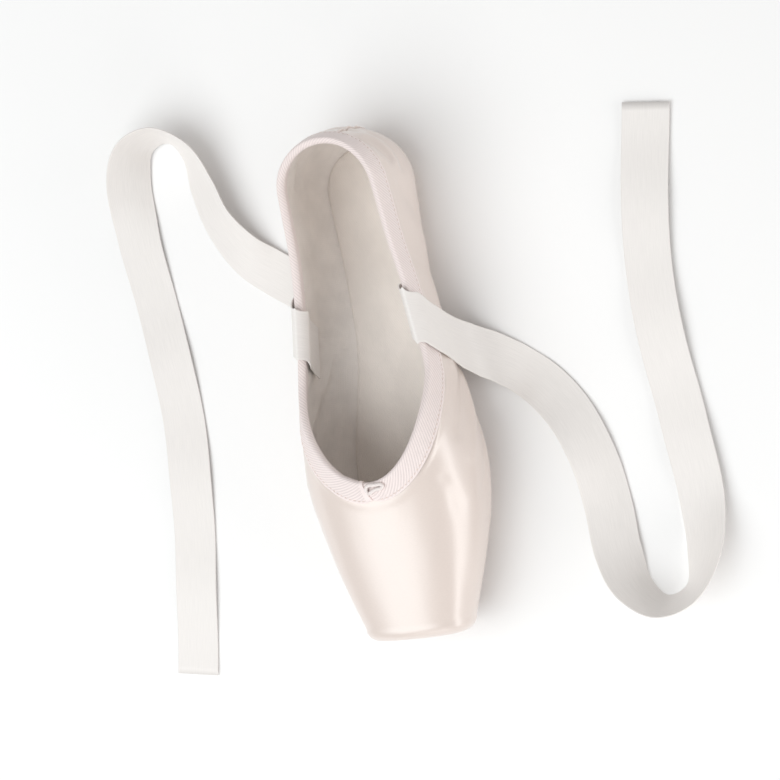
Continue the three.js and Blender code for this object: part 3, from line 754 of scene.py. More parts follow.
def finish_of(name):
    """A finish by name, made the first time it is asked for."""
    ready = bpy.data.materials.get(name)
    if ready:
        return ready
    tints, sizes = bpy.context.scene.pointe_colours, bpy.context.scene.pointe_sizes
    return {
        SATIN: lambda: satin_finish(tints.satin),
        LINING: lambda: lining_finish(tints.lining),
        TAPE: lambda: tape_finish(tints.tape, sizes.tape_rib / MM),
        SOCK: lambda: sock_finish(tints.sock),
        SOLE: lambda: sole_finish(tints.sole, tints.pressed_line_and_hole_shade),
        RIBBON: lambda: ribbon_finish(tints.ribbon),
        ELASTIC: lambda: elastic_finish(tints.elastic),
        THREAD: lambda: thread_finish(THREAD, tints.thread),
        TAPE_THREAD_AND_HOLE_SHADE: lambda: thread_finish(TAPE_THREAD_AND_HOLE_SHADE, tints.tape_thread_and_hole_shade),
        SOLE_THREAD: lambda: thread_finish(SOLE_THREAD, tints.sole_thread),
        HOLE_SHADE_FINISH: lambda: thread_finish(HOLE_SHADE_FINISH, tints.pressed_line_and_hole_shade),
    }[name]()


class PointeColours(bpy.types.PropertyGroup):
    """Colours of the shoe's finishes."""

    def tint(name, description, *value):
        return bpy.props.FloatVectorProperty(
            name=name, description=description, default=value, subtype="COLOR", min=0, max=1
        )

    satin: tint("Satin", "Satin of the upper", 0.75, 0.642, 0.584)
    lining: tint("Lining", "Cotton lining inside the upper", 0.90, 0.845, 0.80)
    tape: tint("Tape", "Twill tape round the collar", 0.885, 0.78, 0.757)
    sock: tint("Sock", "Cotton sock over the insole", 0.87, 0.805, 0.75)
    sole: tint("Sole", "Suede of the sole", 0.50, 0.385, 0.27)
    # This colour also paints the dark blobs of shade in the sole's needle holes.
    pressed_line_and_hole_shade: tint("Sole lines", "Pressed lines and stitch holes in the sole", 0.13, 0.075, 0.04)
    sole_thread: tint("Sole thread", "Thread in the sole's channel", 0.60, 0.49, 0.36)
    thread: tint("Thread", "Sewing thread of the upper", 0.90, 0.86, 0.83)
    # Tape thread: its own colour, darkened with painted shade of the needle holes it sits in.
    tape_thread_and_hole_shade: tint("Tape thread", "Sewing thread along the tape", 0.76, 0.62, 0.55)
    elastic: tint("Elastic", "Drawstring cord", 0.885, 0.805, 0.78)
    ribbon: tint("Ribbon", "Ankle ribbons", 0.86, 0.82, 0.79)
    floor: tint("Floor", "Floor under the shoe", 0.975, 0.966, 0.96)


class PointeSizes(bpy.types.PropertyGroup):
    """Sizes of the sewing and trim."""

    def size(name, description, millimetres):
        return bpy.props.FloatProperty(
            name=name, description=description, default=millimetres * MM, unit="LENGTH", min=0
        )

    tape_rib: size("Tape rib", "Pitch of the tape's slanting ribs", 1.15)
    seam_pitch: size("Seam pitch", "Pitch of the stitches in the side seam", 3.0)
    tape_pitch: size("Tape pitch", "Pitch of the stitches along the tape", 2.2)
    thread: size("Thread", "Thickness of the sewing thread", 0.42)
    sole_pitch: size("Sole pitch", "Pitch of the stitches round the sole", 5.5)
    ribbon_thick: size("Ribbon", "Thickness of a ribbon", 0.4)


STITCH_SEED, STITCH_VARY = 7, (0.9, 1.08)
STITCH_SIDES, STITCH_RINGS = 8, 5


def stitch_tree():
    """Geometry nodes that lay round stitches along a line at an even pitch."""
    name = "stitch_row"
    ready = bpy.data.node_groups.get(name)
    if ready:
        return ready
    tree = bpy.data.node_groups.new(name, "GeometryNodeTree")
    ports = tree.interface
    ports.new_socket("Geometry", in_out="INPUT", socket_type="NodeSocketGeometry")
    for port in ("Pitch", "Length", "Thickness"):
        ports.new_socket(port, in_out="INPUT", socket_type="NodeSocketFloat")
    ports.new_socket("Thread", in_out="INPUT", socket_type="NodeSocketMaterial")
    ports.new_socket("Geometry", in_out="OUTPUT", socket_type="NodeSocketGeometry")

    def node(kind, settings=None, **sockets):
        made = tree.nodes.new(kind)
        for key, value in (settings or {}).items():
            setattr(made, key, value)
        for key, value in sockets.items():
            port = made.inputs[key.replace("_", " ")]
            if isinstance(value, bpy.types.NodeSocket):
                tree.links.new(value, port)
            else:
                port.default_value = value
        return made.outputs

    source = tree.nodes.new("NodeGroupInput").outputs
    line = node("GeometryNodeMeshToCurve", Mesh=source["Geometry"])["Curve"]
    places = node(
        "GeometryNodeCurveToPoints", {"mode": "LENGTH"}, Curve=line, Length=source["Pitch"]
    )
    ball = node(
        "GeometryNodeMeshUVSphere", Segments=STITCH_SIDES, Rings=STITCH_RINGS, Radius=0.5
    )["Mesh"]
    size = node(
        "ShaderNodeCombineXYZ", X=source["Length"], Y=source["Thickness"], Z=source["Thickness"]
    )["Vector"]
    stitch = node("GeometryNodeTransform", Geometry=ball, Scale=size)["Geometry"]
    turn = node("FunctionNodeAlignRotationToVector", {"axis": "X"}, Vector=places["Tangent"])
    vary = node("FunctionNodeRandomValue", {"data_type": "FLOAT"}, Seed=STITCH_SEED)
    low, high = (p for p in vary[0].node.inputs if p.type == "VALUE" and p.enabled)
    low.default_value, high.default_value = STITCH_VARY
    scale = next(out for out in vary if out.enabled)
    laid = node(
        "GeometryNodeInstanceOnPoints", Points=places["Points"], Instance=stitch,
        Rotation=turn["Rotation"], Scale=scale,
    )["Instances"]
    real = node("GeometryNodeRealizeInstances", Geometry=laid)["Geometry"]
    shown = node("GeometryNodeSetMaterial", Geometry=real, Material=source["Thread"])["Geometry"]
    tree.links.new(shown, tree.nodes.new("NodeGroupOutput").inputs["Geometry"])
    return tree


def sew(name, slot, finish, lines, pitch, length, thick):
    """Lays stitches along lines of points given in millimetres, as one plain mesh."""
    points = np.concatenate(lines) * MM
    edges, start = [], 0
    for line in lines:
        edges += [(start + i, start + i + 1) for i in range(len(line) - 1)]
        start += len(line)
    mesh = bpy.data.meshes.new(name)
    mesh.from_pydata(points.tolist(), edges, [])
    piece = link(bpy.data.objects.new(name, mesh))
    layer = piece.modifiers.new("stitches", "NODES")
    layer.node_group = stitch_tree()
    values = {"Pitch": pitch, "Length": length, "Thickness": thick, "Thread": finish_of(finish)}
    for port in layer.node_group.interface.items_tree:
        if port.in_out == "INPUT" and port.name in values:
            layer[port.identifier] = values[port.name]
    graph = bpy.context.evaluated_depsgraph_get()
    sewn = bpy.data.meshes.new_from_object(piece.evaluated_get(graph))
    piece.modifiers.clear()
    piece.data = sewn
    sewn.name = name
    sewn.shade_smooth()
    belongs(piece, slot)


# Ribbons: columns across, rows along, soft ripple of the lying part
RIBBON_ROWS, RIBBON_COLUMNS, RIBBON_PROBES = 320, 15, 6000
RIPPLE_FROM, RIPPLE_FULL, RIPPLE_PITCH, RIPPLE_HIGH = 110, 150, 57, 0.5
SELVEDGE_WIDE, SELVEDGE_THICKER = 1.0, 1.35


def ribbon_strip(name, route, side, thick):
    """A ribbon's flat strip along its route, with the line of its centres."""
    rows = []
    for x, y, z, heading, tilt in route:
        turn, rise = math.radians(heading), math.radians(tilt)
        z = RIBBON_WIDE / 2 * math.sin(abs(rise)) + RIBBON_FLOOR if z is None else z
        level = math.cos(rise)
        across = (level * math.cos(turn), side * level * math.sin(turn), math.sin(rise))
        rows.append(((x, side * y, z), across))
    centres, widths = (np.array(part) for part in zip(*rows))
    probes = np.linspace(0, len(rows) - 1, RIBBON_PROBES)
    reach = run_along(spline(centres, probes, True))
    t = np.linspace(0, np.interp(RIBBON_LENGTH, reach, probes), RIBBON_ROWS)
    line = spline(centres, t, True)
    run = run_along(line)
    ahead = unit(np.gradient(line, axis=0))
    across = unit(spline(widths, t, False))
    slant = np.linalg.norm(np.cross(across, ahead), axis=1, keepdims=True)
    up = unit(np.cross(ahead, across))
    ripple = 1 - np.cos(2 * math.pi * run / RIPPLE_PITCH)
    line[:, 2] += RIPPLE_HIGH * ripple * smooth(run, RIPPLE_FROM, RIPPLE_FULL)
    share = np.sin(np.linspace(-QUARTER_TURN, QUARTER_TURN, RIBBON_COLUMNS))
    out = share * RIBBON_WIDE / 2
    selvedge = RIBBON_WIDE / 2 - SELVEDGE_WIDE
    firm = 1 + (SELVEDGE_THICKER - 1) * smooth(np.abs(out), selvedge - SELVEDGE_WIDE / 2, selvedge)
    middle = line[:, None] + (across / slant)[:, None] * out[None, :, None]
    half_thick = up[:, None] * (firm * thick / 2)[None, :, None]
    uv = np.stack(np.broadcast_arrays(run[:, None], out[None]), -1)
    shape = Shape()
    shape.slab(middle + half_thick, middle - half_thick, uv)
    return shape.build(name, finish_of(RIBBON)), line


class POINTE_OT_ribbons(bpy.types.Operator):
    """Lay out the two ankle ribbons, starting inside the collar and lying on the floor"""

    bl_idname = "pointe.ribbons"
    bl_label = "Ankle ribbons"

    def execute(self, context):
        thick = context.scene.pointe_sizes.ribbon_thick / MM
        ribbons = ("ribbon_left", RIBBON_LEFT, LEFT), ("ribbon_right", RIBBON_RIGHT, RIGHT)
        for name, route, side in ribbons:
            piece, line = ribbon_strip(name + "_satin", route, side, thick)
            belongs(piece, "ribbon", name)
            line[0] * MM
            line * MM
        return {"FINISHED"}


# Collar: places along its edge, in the order heel, side, throat, front
COLLAR_COUNTS = (60, 90, 84, 36)
COLLAR_FRONT = 0.87


def collar_edge():
    """Way round, quarter, point, direction and run of places along the collar's left edge."""
    heel, side, throat, front = COLLAR_COUNTS
    side_end, front_from = THROAT_BACK - HEEL_CENTRE, QUARTER_TURN * COLLAR_FRONT
    turn = np.r_[
        np.linspace(0, front_from, throat)[:-1], np.linspace(front_from, QUARTER_TURN, front)
    ]
    around = np.concatenate([
        np.linspace(-HEEL_ARC, 0, heel)[:-1],
        np.linspace(0, side_end, side)[:-1],
        side_end + THROAT_DEEP * np.sin(turn),
    ])
    around = np.r_[around[collar_quarter(around) < CROWN], around[-1]]
    quarter = collar_quarter(around)
    points = form(around, quarter)
    way = np.gradient(points, axis=0)
    way[0], way[-1] = (0, 1, 0), (0, -1, 0)
    return around, quarter, points, unit(way), run_along(points)


COLLAR = collar_edge()
WALK_STEPS = 6


def collar_near(front):
    """Places on the collar's left edge at distances from its front, either way."""
    run = COLLAR[4]
    at = run[-1] - np.abs(front)
    around, quarter = (np.interp(at, run, part) for part in COLLAR[:2])
    points, way = (at_run(at, run, part) for part in COLLAR[2:4])
    return around, quarter, points, unit(way), at


def from_edge(distance, inset, collar=COLLAR):
    """Points reached by walking over the form square to the collar's edge, then set in."""
    around, quarter, edge, way, _ = collar
    distance = np.broadcast_to(distance, around.shape)
    for _ in range(WALK_STEPS):
        by_around, by_quarter = form_tangents(around, quarter)
        out = unit(np.cross(by_quarter, by_around))
        step = unit(np.cross(out, way)) * (distance / WALK_STEPS)[:, None]
        aa, ab, bb = (
            (a * b).sum(1)
            for a, b in ((by_around, by_around), (by_around, by_quarter), (by_quarter, by_quarter))
        )
        wa, wb = (step * by_around).sum(1), (step * by_quarter).sum(1)
        scale = aa * bb - ab * ab
        around = around + (wa * bb - wb * ab) / scale
        quarter = np.minimum(CROWN, quarter + (wb * aa - wa * ab) / scale)
    points = form(around, quarter, inset)
    points[np.abs(edge[:, 1]) < TINY, 1] = 0
    return points


# Tape's section: how far from the edge, how deep in the wall's thickness or outside it
TAPE_NEAR, TAPE_FAR, TAPE_PEAK = 0.12, 0.92, 1.3
NOTCH_DEEP, NOTCH_WIDE = 1.5, 2.0
PUCKER_PITCH, PUCKER_HIGH, PUCKER_CLEAR = 5.6, 0.1, 8
TAPE_STITCH_IN, STITCH_SINK, STITCH_HALF = 1.1, 0.22, 0.5
# At the front the tape's right end laps over its left one: where the lap begins and is cut, the
# cut's slant, and its turned end. Beside the cut lies a short gap, wider at the top.
LAP_FROM, LAP_EASE, LAP_CUT, LAP_SLANT, LAP_HIGH, LAP_SUNK = -18, 9, -2.6, 0.29, 0.5, 0.25
LAP_HEM, LAP_HEM_HIGH, LAP_STEPS, HEM_STEPS = 1.8, 0.14, 60, 8
HEM_RISE_FROM, HEM_RISE_END, LAP_UNDER, LAP_SHARP = -0.1, 0.3, 0.02, 60
CUT_GAP_ASIDE, CUT_GAP_HALF, CUT_GAP_DEEP = 0.45, 0.5, 0.75
CUT_GAP_TOP, CUT_GAP_FROM, CUT_GAP_END = 1.5, 2.5, 7.0
FOLD_STEPS, OUTER_STEPS, INNER_STEPS = 8, 25, 9
OUTWARD = -1


def tape_profile(wall):
    """Points round the folded tape: away, inset, share of the outer leg, way off it, and length."""
    turn = np.linspace(0, math.pi, FOLD_STEPS + 2)[1:-1]
    outer, inner = np.linspace(1, 0, OUTER_STEPS), np.linspace(0, 1, INNER_STEPS)
    legs = (
        (outer * TAPE_OUTSIDE, -TAPE_FAR, outer, 0, OUTWARD),
        (-TAPE_PEAK * np.sin(turn), wall / 2 - (wall / 2 + TAPE_FAR) * np.cos(turn), 0,
         -np.sin(turn), -np.cos(turn)),
        (inner * TAPE_INSIDE, wall + TAPE_FAR, 0, 0, 1),
    )
    hidden = (
        (inner[::-2] * TAPE_INSIDE, wall + TAPE_NEAR, 0, 0, 0),
        (outer[::-4] * TAPE_OUTSIDE, -TAPE_NEAR, outer[::-4], 0, 0),
    )
    shown, back = (
        np.concatenate([np.stack(np.broadcast_arrays(*leg), -1) for leg in part])
        for part in (legs, hidden)
    )
    full = np.concatenate([shown, back])
    length = TAPE_OUTSIDE - run_along(full[:, :2])
    return np.column_stack([full, length]), len(shown)


def lap_rise(s):
    """Height of the lapped end over the tape, by the signed distance from the front."""
    return LAP_HIGH * smooth(s, LAP_FROM, LAP_FROM + LAP_EASE)


def tape_line(s, collar, row, rise=0.0, cut=False):
    """One line along the tape at signed distances from the front."""
    away, inset, share, off_away, off_inset, _ = row
    notch = share * NOTCH_DEEP * bell(s, NOTCH_WIDE)
    pucker = np.sin(2 * math.pi * collar[4] / PUCKER_PITCH) * smooth(np.abs(s), 0, PUCKER_CLEAR)
    sink = STITCH_SINK * bell(away - TAPE_OUTSIDE + TAPE_STITCH_IN, STITCH_HALF)
    if cut:
        beside = s - (LAP_CUT + LAP_SLANT * away + CUT_GAP_ASIDE)
        within = smooth(away, CUT_GAP_TOP, CUT_GAP_FROM) - smooth(away, CUT_GAP_FROM, CUT_GAP_END)
        sink = sink + CUT_GAP_DEEP * bell(beside, CUT_GAP_HALF) * within
    sink = sink * (off_inset == OUTWARD) - PUCKER_HIGH * share * pucker
    return from_edge(away - notch + off_away * rise, inset + sink + off_inset * rise, collar)


class POINTE_OT_binding(bpy.types.Operator):
    """Fold the twill tape over the collar's edge, its ends lapped at the front"""

    bl_idname = "pointe.binding"
    bl_label = "Collar binding"

    def execute(self, context):
        profile, shown = tape_profile(float(wall_at(HEEL_CENTRE)))
        run = COLLAR[4]
        shape = Shape()
        for side in (LEFT, RIGHT):
            s = side * (run[-1] - run)
            columns, maps = [], []
            for row in (*profile, profile[0]):
                columns.append(tape_line(s, COLLAR, row, cut=True) * (1, side, 1))
                maps.append(np.stack([side * run, np.full_like(run, row[-1])], -1))
            shape.grid(np.stack(columns, 1), np.stack(maps, 1))
        belongs(shape.build("binding_tape", finish_of(TAPE)), "binding_tape", "binding")
        rib = context.scene.pointe_sizes.tape_rib / MM
        belongs(self.lap(profile[:shown], rib), "binding_tape")
        return {"FINISHED"}

    def lap(self, profile, rib):
        """The lapped end, ribbed up to its turned hem, which is plain."""
        share = np.r_[np.linspace(0, 1, LAP_STEPS), np.linspace(0, 1, HEM_STEPS)]
        in_hem = np.arange(len(share)) >= LAP_STEPS
        tops, bottoms, maps = [], [], []
        for row in profile:
            length = row[-1]
            end = LAP_CUT + LAP_SLANT * length
            hem = end - LAP_HEM
            s = np.where(in_hem, hem + LAP_HEM * share, LAP_FROM + (hem - LAP_FROM) * share)
            collar = collar_near(s)
            rise = lap_rise(s) - LAP_SUNK * (1 - smooth(s, LAP_FROM, LAP_FROM + LAP_EASE))
            rise = rise + LAP_HEM_HIGH * smooth(s, hem + HEM_RISE_FROM, hem + HEM_RISE_END)
            mirror = np.stack([np.ones_like(s), np.where(s < 0, RIGHT, LEFT), np.ones_like(s)], -1)
            tops.append(tape_line(s, collar, row, rise) * mirror)
            bottoms.append(tape_line(s, collar, row, -LAP_SUNK - LAP_UNDER) * mirror)
            plain = length + rib * math.sqrt(2) / 4
            u = np.where(in_hem, plain, -COLLAR[4][-1] - s)
            maps.append(np.stack([u, np.full_like(u, length)], -1))
        shape = Shape()
        shape.slab(*(np.stack(part) for part in (tops, bottoms, maps)))
        return shape.build("binding_lap", finish_of(TAPE), sharp=LAP_SHARP)


KNOT_STEPS, KNOT_SIDES = 140, 12


class POINTE_OT_drawstring(bpy.types.Operator):
    """Tie the drawstring's small knot at the front of the throat"""

    bl_idname = "pointe.drawstring"
    bl_label = "Drawstring knot"

    def execute(self, context):
        front = collar_near(np.zeros(1))
        seat, ahead = (from_edge(KNOT_SEAT + more, -TAPE_FAR, front)[0] for more in (0, 1))
        forward, across = unit(ahead - seat), np.array((0, 1, 0))
        frame_of_knot = np.stack([forward, across, np.cross(forward, across)])
        route = np.array(KNOT_ROUTE) @ frame_of_knot + seat + across * KNOT_ASIDE
        line = spline(route, np.linspace(0, len(route) - 1, KNOT_STEPS), True)
        shape = Shape()
        tube_grid(shape, line, KNOT_CORD / 2, KNOT_SIDES)
        piece = shape.build("drawstring_cord", finish_of(ELASTIC))
        belongs(piece, "elastic", "drawstring_knot")
        line[0] * MM
        line * MM
        return {"FINISHED"}


# Upper's mesh: stations from heel to platform, steps over each section, rings of the platform
UPPER_STATIONS = (46, 62, 42, 9, 14, 24, 12)
UPPER_STEPS, UPPER_PROBES, PLATFORM_RINGS = 96, 240, 14
PLATFORM_DOME, GATHER_END = 0.5, 8


def upper_places():
    """Way round of each station, and even quarters and run over each section."""
    heel, side, throat, vamp, tip, box, nose = UPPER_STATIONS
    throat_from, tip_from = THROAT_BACK - HEEL_CENTRE, UNDER_OPEN_ROUND - HEEL_CENTRE
    around = np.concatenate([
        np.linspace(-HEEL_ARC, 0, heel)[:-1],
        np.linspace(0, throat_from, side)[:-1],
        throat_from + THROAT_DEEP * np.sin(np.linspace(0, QUARTER_TURN, throat))[:-1],
        np.linspace(THROAT_TIP, tip_from, vamp)[:-1],
        tip_from + (UNDER_TIP - tip_from) * np.sin(np.linspace(0, QUARTER_TURN, tip))[:-1],
        np.linspace(UNDER_TIP, NOSE_FROM, box)[:-1],
        np.linspace(NOSE_FROM, NOSE_END, nose),
    ])
    share = np.linspace(0, 1, UPPER_PROBES)
    low, high = opening_quarter(around)[:, None], collar_quarter(around)[:, None]
    probes = low + (high - low) * share
    probe_points = form(around[:, None], probes)
    quarters, runs = [], []
    for row, points in zip(probes, probe_points):
        run = run_along(points)
        goals = np.linspace(0, run[-1], UPPER_STEPS + 1)
        quarters.append(np.interp(goals, run, row))
        runs.append(goals)
    return around, np.array(quarters), np.array(runs)


class POINTE_OT_upper(bpy.types.Operator):
    """Shape the hollow satin upper with its creases, seams and lining"""

    bl_idname = "pointe.upper"
    bl_label = "Satin upper"

    def execute(self, context):
        around, quarter, run = upper_places()
        column = around[:, None]
        outer = form(column, quarter)
        wall = wall_at(foot_along(around))[:, None]
        inner = form(column, quarter, wall)
        out = form_normal(column, quarter)
        out[np.abs(outer[..., 1]) < TINY, 1] = 0
        uv = np.stack([np.broadcast_to(column, run.shape), run], -1)
        off = distance_to(outer.reshape(-1, 3), COLLAR[2])[0].reshape(run.shape)
        collar_run = np.interp(around, COLLAR[0], COLLAR[4])[:, None]
        gather = 0.5 + 0.5 * np.sin(2 * math.pi * collar_run / GATHER_PITCH)
        gather = gather * np.exp(-off / GATHER_FADE) * smooth(THROAT_TIP - column, 0, GATHER_END)
        roll = EDGE_ROLL_HIGH * bell(off - EDGE_ROLL_AT, EDGE_ROLL_WIDE) - GATHER_DEEP * gather
        collar, under = around <= THROAT_TIP + TINY, around <= UNDER_TIP + TINY
        shape = Shape()
        for side in (LEFT, RIGHT):
            lift = (relief(outer, column, side) + roll)[..., None] * out
            skin, lined = (outer + lift) * (1, side, 1), (inner + lift) * (1, side, 1)
            shape.grid(skin, uv, 0)
            shape.grid(lined, uv, 1)
            shape.wall(skin[collar, -1], lined[collar, -1], finish=1)
            shape.wall(skin[under, 0], lined[under, 0], finish=1)
            for finish, layer in enumerate((skin, lined)):
                edge = layer[-1]
                centre = np.array((edge[0, 0], 0, (edge[0, 2] + edge[-1, 2]) / 2))
                share = np.linspace(1, 0, PLATFORM_RINGS)[None, :, None]
                face = centre + (edge - centre)[:, None] * share
                face[..., 0] += PLATFORM_DOME * (1 - share[..., 0] ** 2)
                shape.grid(face, face[..., 1:], finish)
        piece = shape.build("upper_satin", finish_of(SATIN), finish_of(LINING))
        belongs(piece, "satin", "upper")
        return {"FINISHED"}


# Heel strip over the back seam, with corded edges
STRIP_THICK, STRIP_UNDER, STRIP_LOW, STRIP_TAPE = 0.55, 0.2, 1.2, 0.1
PIPING, PIPING_LUMP, PIPING_PITCH = 0.6, 0.06, 4.2
PIPING_OUT, PIPING_SIDES = 0.6, 10
STRIP_ROWS, STRIP_COLUMNS, STRIP_SHARP = 90, 14, 50


def strip_place(quarter, share):
    """Way round at a share of the strip's half width, at a height given by its quarter."""
    radius = form(0.0, quarter)[..., 1] * HEEL_SQUASH
    return -HEEL_ARC + STRIP_HALF * share * HEEL_CENTRE / radius


class POINTE_OT_heel_strip(bpy.types.Operator):
    """Sew the narrow satin strip over the back seam, with a cord along each edge"""

    bl_idname = "pointe.heel_strip"
    bl_label = "Heel strip"

    def execute(self, context):
        top = float(collar_quarter(-HEEL_ARC)) - STRIP_TAPE
        quarter = np.linspace(STRIP_LOW, top, STRIP_ROWS)[:, None]
        share = np.linspace(0, 1, STRIP_COLUMNS)[None]
        around = strip_place(quarter, share)
        fold = heel_fold(form(around, quarter), around)
        front, back = (form(around, quarter, inset - fold) for inset in (-STRIP_THICK, STRIP_UNDER))
        uv = np.stack([share * STRIP_HALF + 0 * quarter, front[..., 2]], -1)
        shape = Shape()
        shape.grid(front, uv, mirror=True)
        shape.grid(back, uv, mirror=True)
        shape.wall(front[:, -1], back[:, -1], mirror=True)
        for row in (0, -1):
            shape.wall(front[row], back[row], mirror=True)
        belongs(shape.build("heel_strip", finish_of(SATIN), sharp=STRIP_SHARP), "satin")
        cords = Shape()
        edge_quarter = np.linspace(STRIP_LOW, top, STRIP_ROWS * 2)
        edge_around = strip_place(edge_quarter, 1.0)
        fold = heel_fold(form(edge_around, edge_quarter), edge_around)
        edge = form(edge_around, edge_quarter, -PIPING * PIPING_OUT - fold)
        lump = PIPING + PIPING_LUMP * np.sin(2 * math.pi * run_along(edge) / PIPING_PITCH)
        for side in (LEFT, RIGHT):
            tube_grid(cords, edge * (1, side, 1), lump, PIPING_SIDES)
        belongs(cords.build("heel_cords", finish_of(SATIN)), "satin")
        return {"FINISHED"}


# Sole: rings in from its edge, each with its height, then lines across to the middle
SOLE_COUNTS = (44, 300, 70)
SOLE_EDGE = ((0, 3.0), (0, 1.1), (0.1, 0.55), (0.35, 0.18), (0.8, 0))
SOLE_FLAT_FROM, SOLE_FLAT_END, SOLE_RING = 1.2, 6.4, 0.4
SOLE_ACROSS, SOLE_SHARP, SOLE_TOP_MAP = 44, 40, (0.0, 9.0)
CHANNEL_AT, CHANNEL_HALF, CHANNEL_DEEP, CHANNEL_DARK = 5.0, 0.75, 0.45, 0.35
# The hole sizes are those of the dark blobs painted as shade in the needle holes.
SOLE_STITCH_SHARE, SOLE_STITCH_THICK, HOLE_SHADE_LONG, HOLE_SHADE_THICK = 0.74, 0.75, 1.3, 0.8
HATCH_FROM, HATCH_PITCH, HATCH_HALF, HATCH_DEEP, HATCH_TURN = 129, 4.0, 0.42, 0.3, 43
HATCH_FROM_EASE, HATCH_MARGIN, HATCH_MARGIN_EASE = 0.8, 2.0, 0.4
KITE = ((112, 0), (127, 9), (134, 5), (134, 0))
PANEL_MIDDLE, PANEL_HALF, PANEL_ROUND = (84, 0), (15, 8.5), 3.0
OVAL_MIDDLE, OVAL_HALF = (33, 0), (13, 9.5)
STAMP_HALF, STAMP_FAINT = 0.4, 0.7


def sole_outline(extra, tip_round, tip, counts=SOLE_COUNTS):
    """Half outline in plan from the back of the heel to the round tip, with its inward normals."""
    heel, foot, end = counts
    half = float(flat_half(HEEL_CENTRE)) + extra
    turn = np.linspace(0, QUARTER_TURN, heel)[:-1]
    round_end = tip_round + (tip - tip_round) * np.sin(np.linspace(0, QUARTER_TURN, end))
    along = np.r_[np.linspace(HEEL_CENTRE, tip_round, foot)[:-1], round_end]
    wide = (flat_half(along) + extra) * rounded_end(along, tip_round, tip)
    plan = np.stack([
        np.r_[HEEL_CENTRE - half * HEEL_SQUASH * np.cos(turn), along],
        np.r_[half * np.sin(turn), wide],
    ], -1)
    plan[0, 1] = plan[-1, 1] = 0
    way = np.gradient(plan, axis=0)
    way[0], way[-1] = (0, 1), (0, -1)
    way = unit(way)
    return plan, np.stack([way[:, 1], -way[:, 0]], -1)


def sole_lines(along, y, edge):
    """Pressed lines of the sole: hatching under the forefoot, and three bare outlines."""
    turn = math.radians(HATCH_TURN)
    hatch = np.zeros_like(along)
    for side in (LEFT, RIGHT):
        across = along * math.sin(turn) + side * y * math.cos(turn)
        apart = (across + HATCH_PITCH / 2) % HATCH_PITCH - HATCH_PITCH / 2
        hatch = np.maximum(hatch, bell(apart, HATCH_HALF))
    hatch *= smooth(along, HATCH_FROM - HATCH_FROM_EASE, HATCH_FROM + HATCH_FROM_EASE)
    hatch *= smooth(edge, HATCH_MARGIN - HATCH_MARGIN_EASE, HATCH_MARGIN + HATCH_MARGIN_EASE)
    in_kite = y < np.interp(along, *zip(*KITE[:-1]), left=-1, right=-1)
    stamp = bell(distance_to(np.stack([along, y], -1), np.array(KITE, float))[0], STAMP_HALF)
    from_panel, from_oval = (
        [np.abs(value - middle) for value, middle in zip((along, y), centre)]
        for centre in (PANEL_MIDDLE, OVAL_MIDDLE)
    )
    past = [gap - half + PANEL_ROUND for gap, half in zip(from_panel, PANEL_HALF)]
    panel = np.hypot(*np.maximum(past, 0)) + np.minimum(np.maximum(*past), 0) - PANEL_ROUND
    oval = np.hypot(*[gap / half for gap, half in zip(from_oval, OVAL_HALF)]) - 1
    for apart in (panel, oval * OVAL_HALF[1]):
        stamp = np.maximum(stamp, bell(apart, STAMP_HALF) * STAMP_FAINT)
    return np.maximum(np.where(in_kite, 0, hatch), stamp)


def half_plan(place):
    """Ways along and across of a ring in plan, kept on the left side and closed at both ends."""
    along, y = place.T
    y = np.maximum(y, 0)
    y[[0, -1]] = 0
    return along, y


class POINTE_OT_outsole(bpy.types.Operator):
    """Cut the suede sole with its hatched forefoot, stitching channel and bevelled edge"""

    bl_idname = "pointe.outsole"
    bl_label = "Leather sole"

    def execute(self, context):
        plan, inward = sole_outline(GAP, SOLE_TIP_ROUND, SOLE_TIP)
        flat = np.arange(SOLE_FLAT_FROM, SOLE_FLAT_END, SOLE_RING)
        rings = [
            (plan + inward * offset, rise, offset)
            for offset, rise in (*SOLE_EDGE, *[(offset, 0) for offset in flat])
        ]
        inner = np.stack([rings[-1][0][:, 0], np.maximum(rings[-1][0][:, 1], 0)], -1)
        for share in np.linspace(0, 1, SOLE_ACROSS + 1)[1:]:
            rings.append((inner * (1, 1 - share), 0, SOLE_FLAT_END + inner[:, 1] * share))
        columns, maps = [], []
        for place, rise, offset in rings:
            along, y = half_plan(place)
            edge = np.broadcast_to(offset, along.shape).astype(float)
            pressed = sole_lines(along, y, edge) * (rise == 0)
            channel = bell(edge - CHANNEL_AT, CHANNEL_HALF)
            z = sole_lift(along) + rise + pressed * HATCH_DEEP + channel * CHANNEL_DEEP
            columns.append(np.stack([along - LENGTH / 2, y, z], -1))
            maps.append(np.stack([np.maximum(pressed, channel * CHANNEL_DARK), edge], -1))
        rim = columns[0]
        shape = Shape()
        shape.grid(np.stack(columns, 1), np.stack(maps, 1), mirror=True)
        shape.wall(rim, rim * (1, 0, 1), np.full((len(rim), 2), SOLE_TOP_MAP), mirror=True)
        piece = shape.build("sole_suede_plate", finish_of(SOLE), sharp=SOLE_SHARP)
        belongs(piece, "sole_leather", "outsole")
        self.stitches(plan + inward * CHANNEL_AT, context.scene.pointe_sizes.sole_pitch)
        return {"FINISHED"}

    def stitches(self, ring, pitch):
        """Stitches in the channel, and between each two a dark blob of painted shade standing for the
        needle hole.
        """
        along, y = ring[:, 0], np.maximum(ring[:, 1], 0)
        seam = np.stack([along - LENGTH / 2, y, sole_lift(along) + CHANNEL_DEEP], -1)
        run = run_along(seam)
        between = at_run(np.linspace(pitch / MM / 2, run[-1], len(seam)), run, seam)
        for name, finish, line, length, thick in (
            ("sole_stitches", SOLE_THREAD, seam, pitch * SOLE_STITCH_SHARE, SOLE_STITCH_THICK),
            # Dark blobs between the stitches: painted shade of the needle holes.
            ("sole_needle_hole_shade", HOLE_SHADE_FINISH, between, HOLE_SHADE_LONG * MM, HOLE_SHADE_THICK),
        ):
            lines = [line, line * (1, -1, 1)]
            sew(name, "sole_leather", finish, lines, pitch, length, thick * MM)


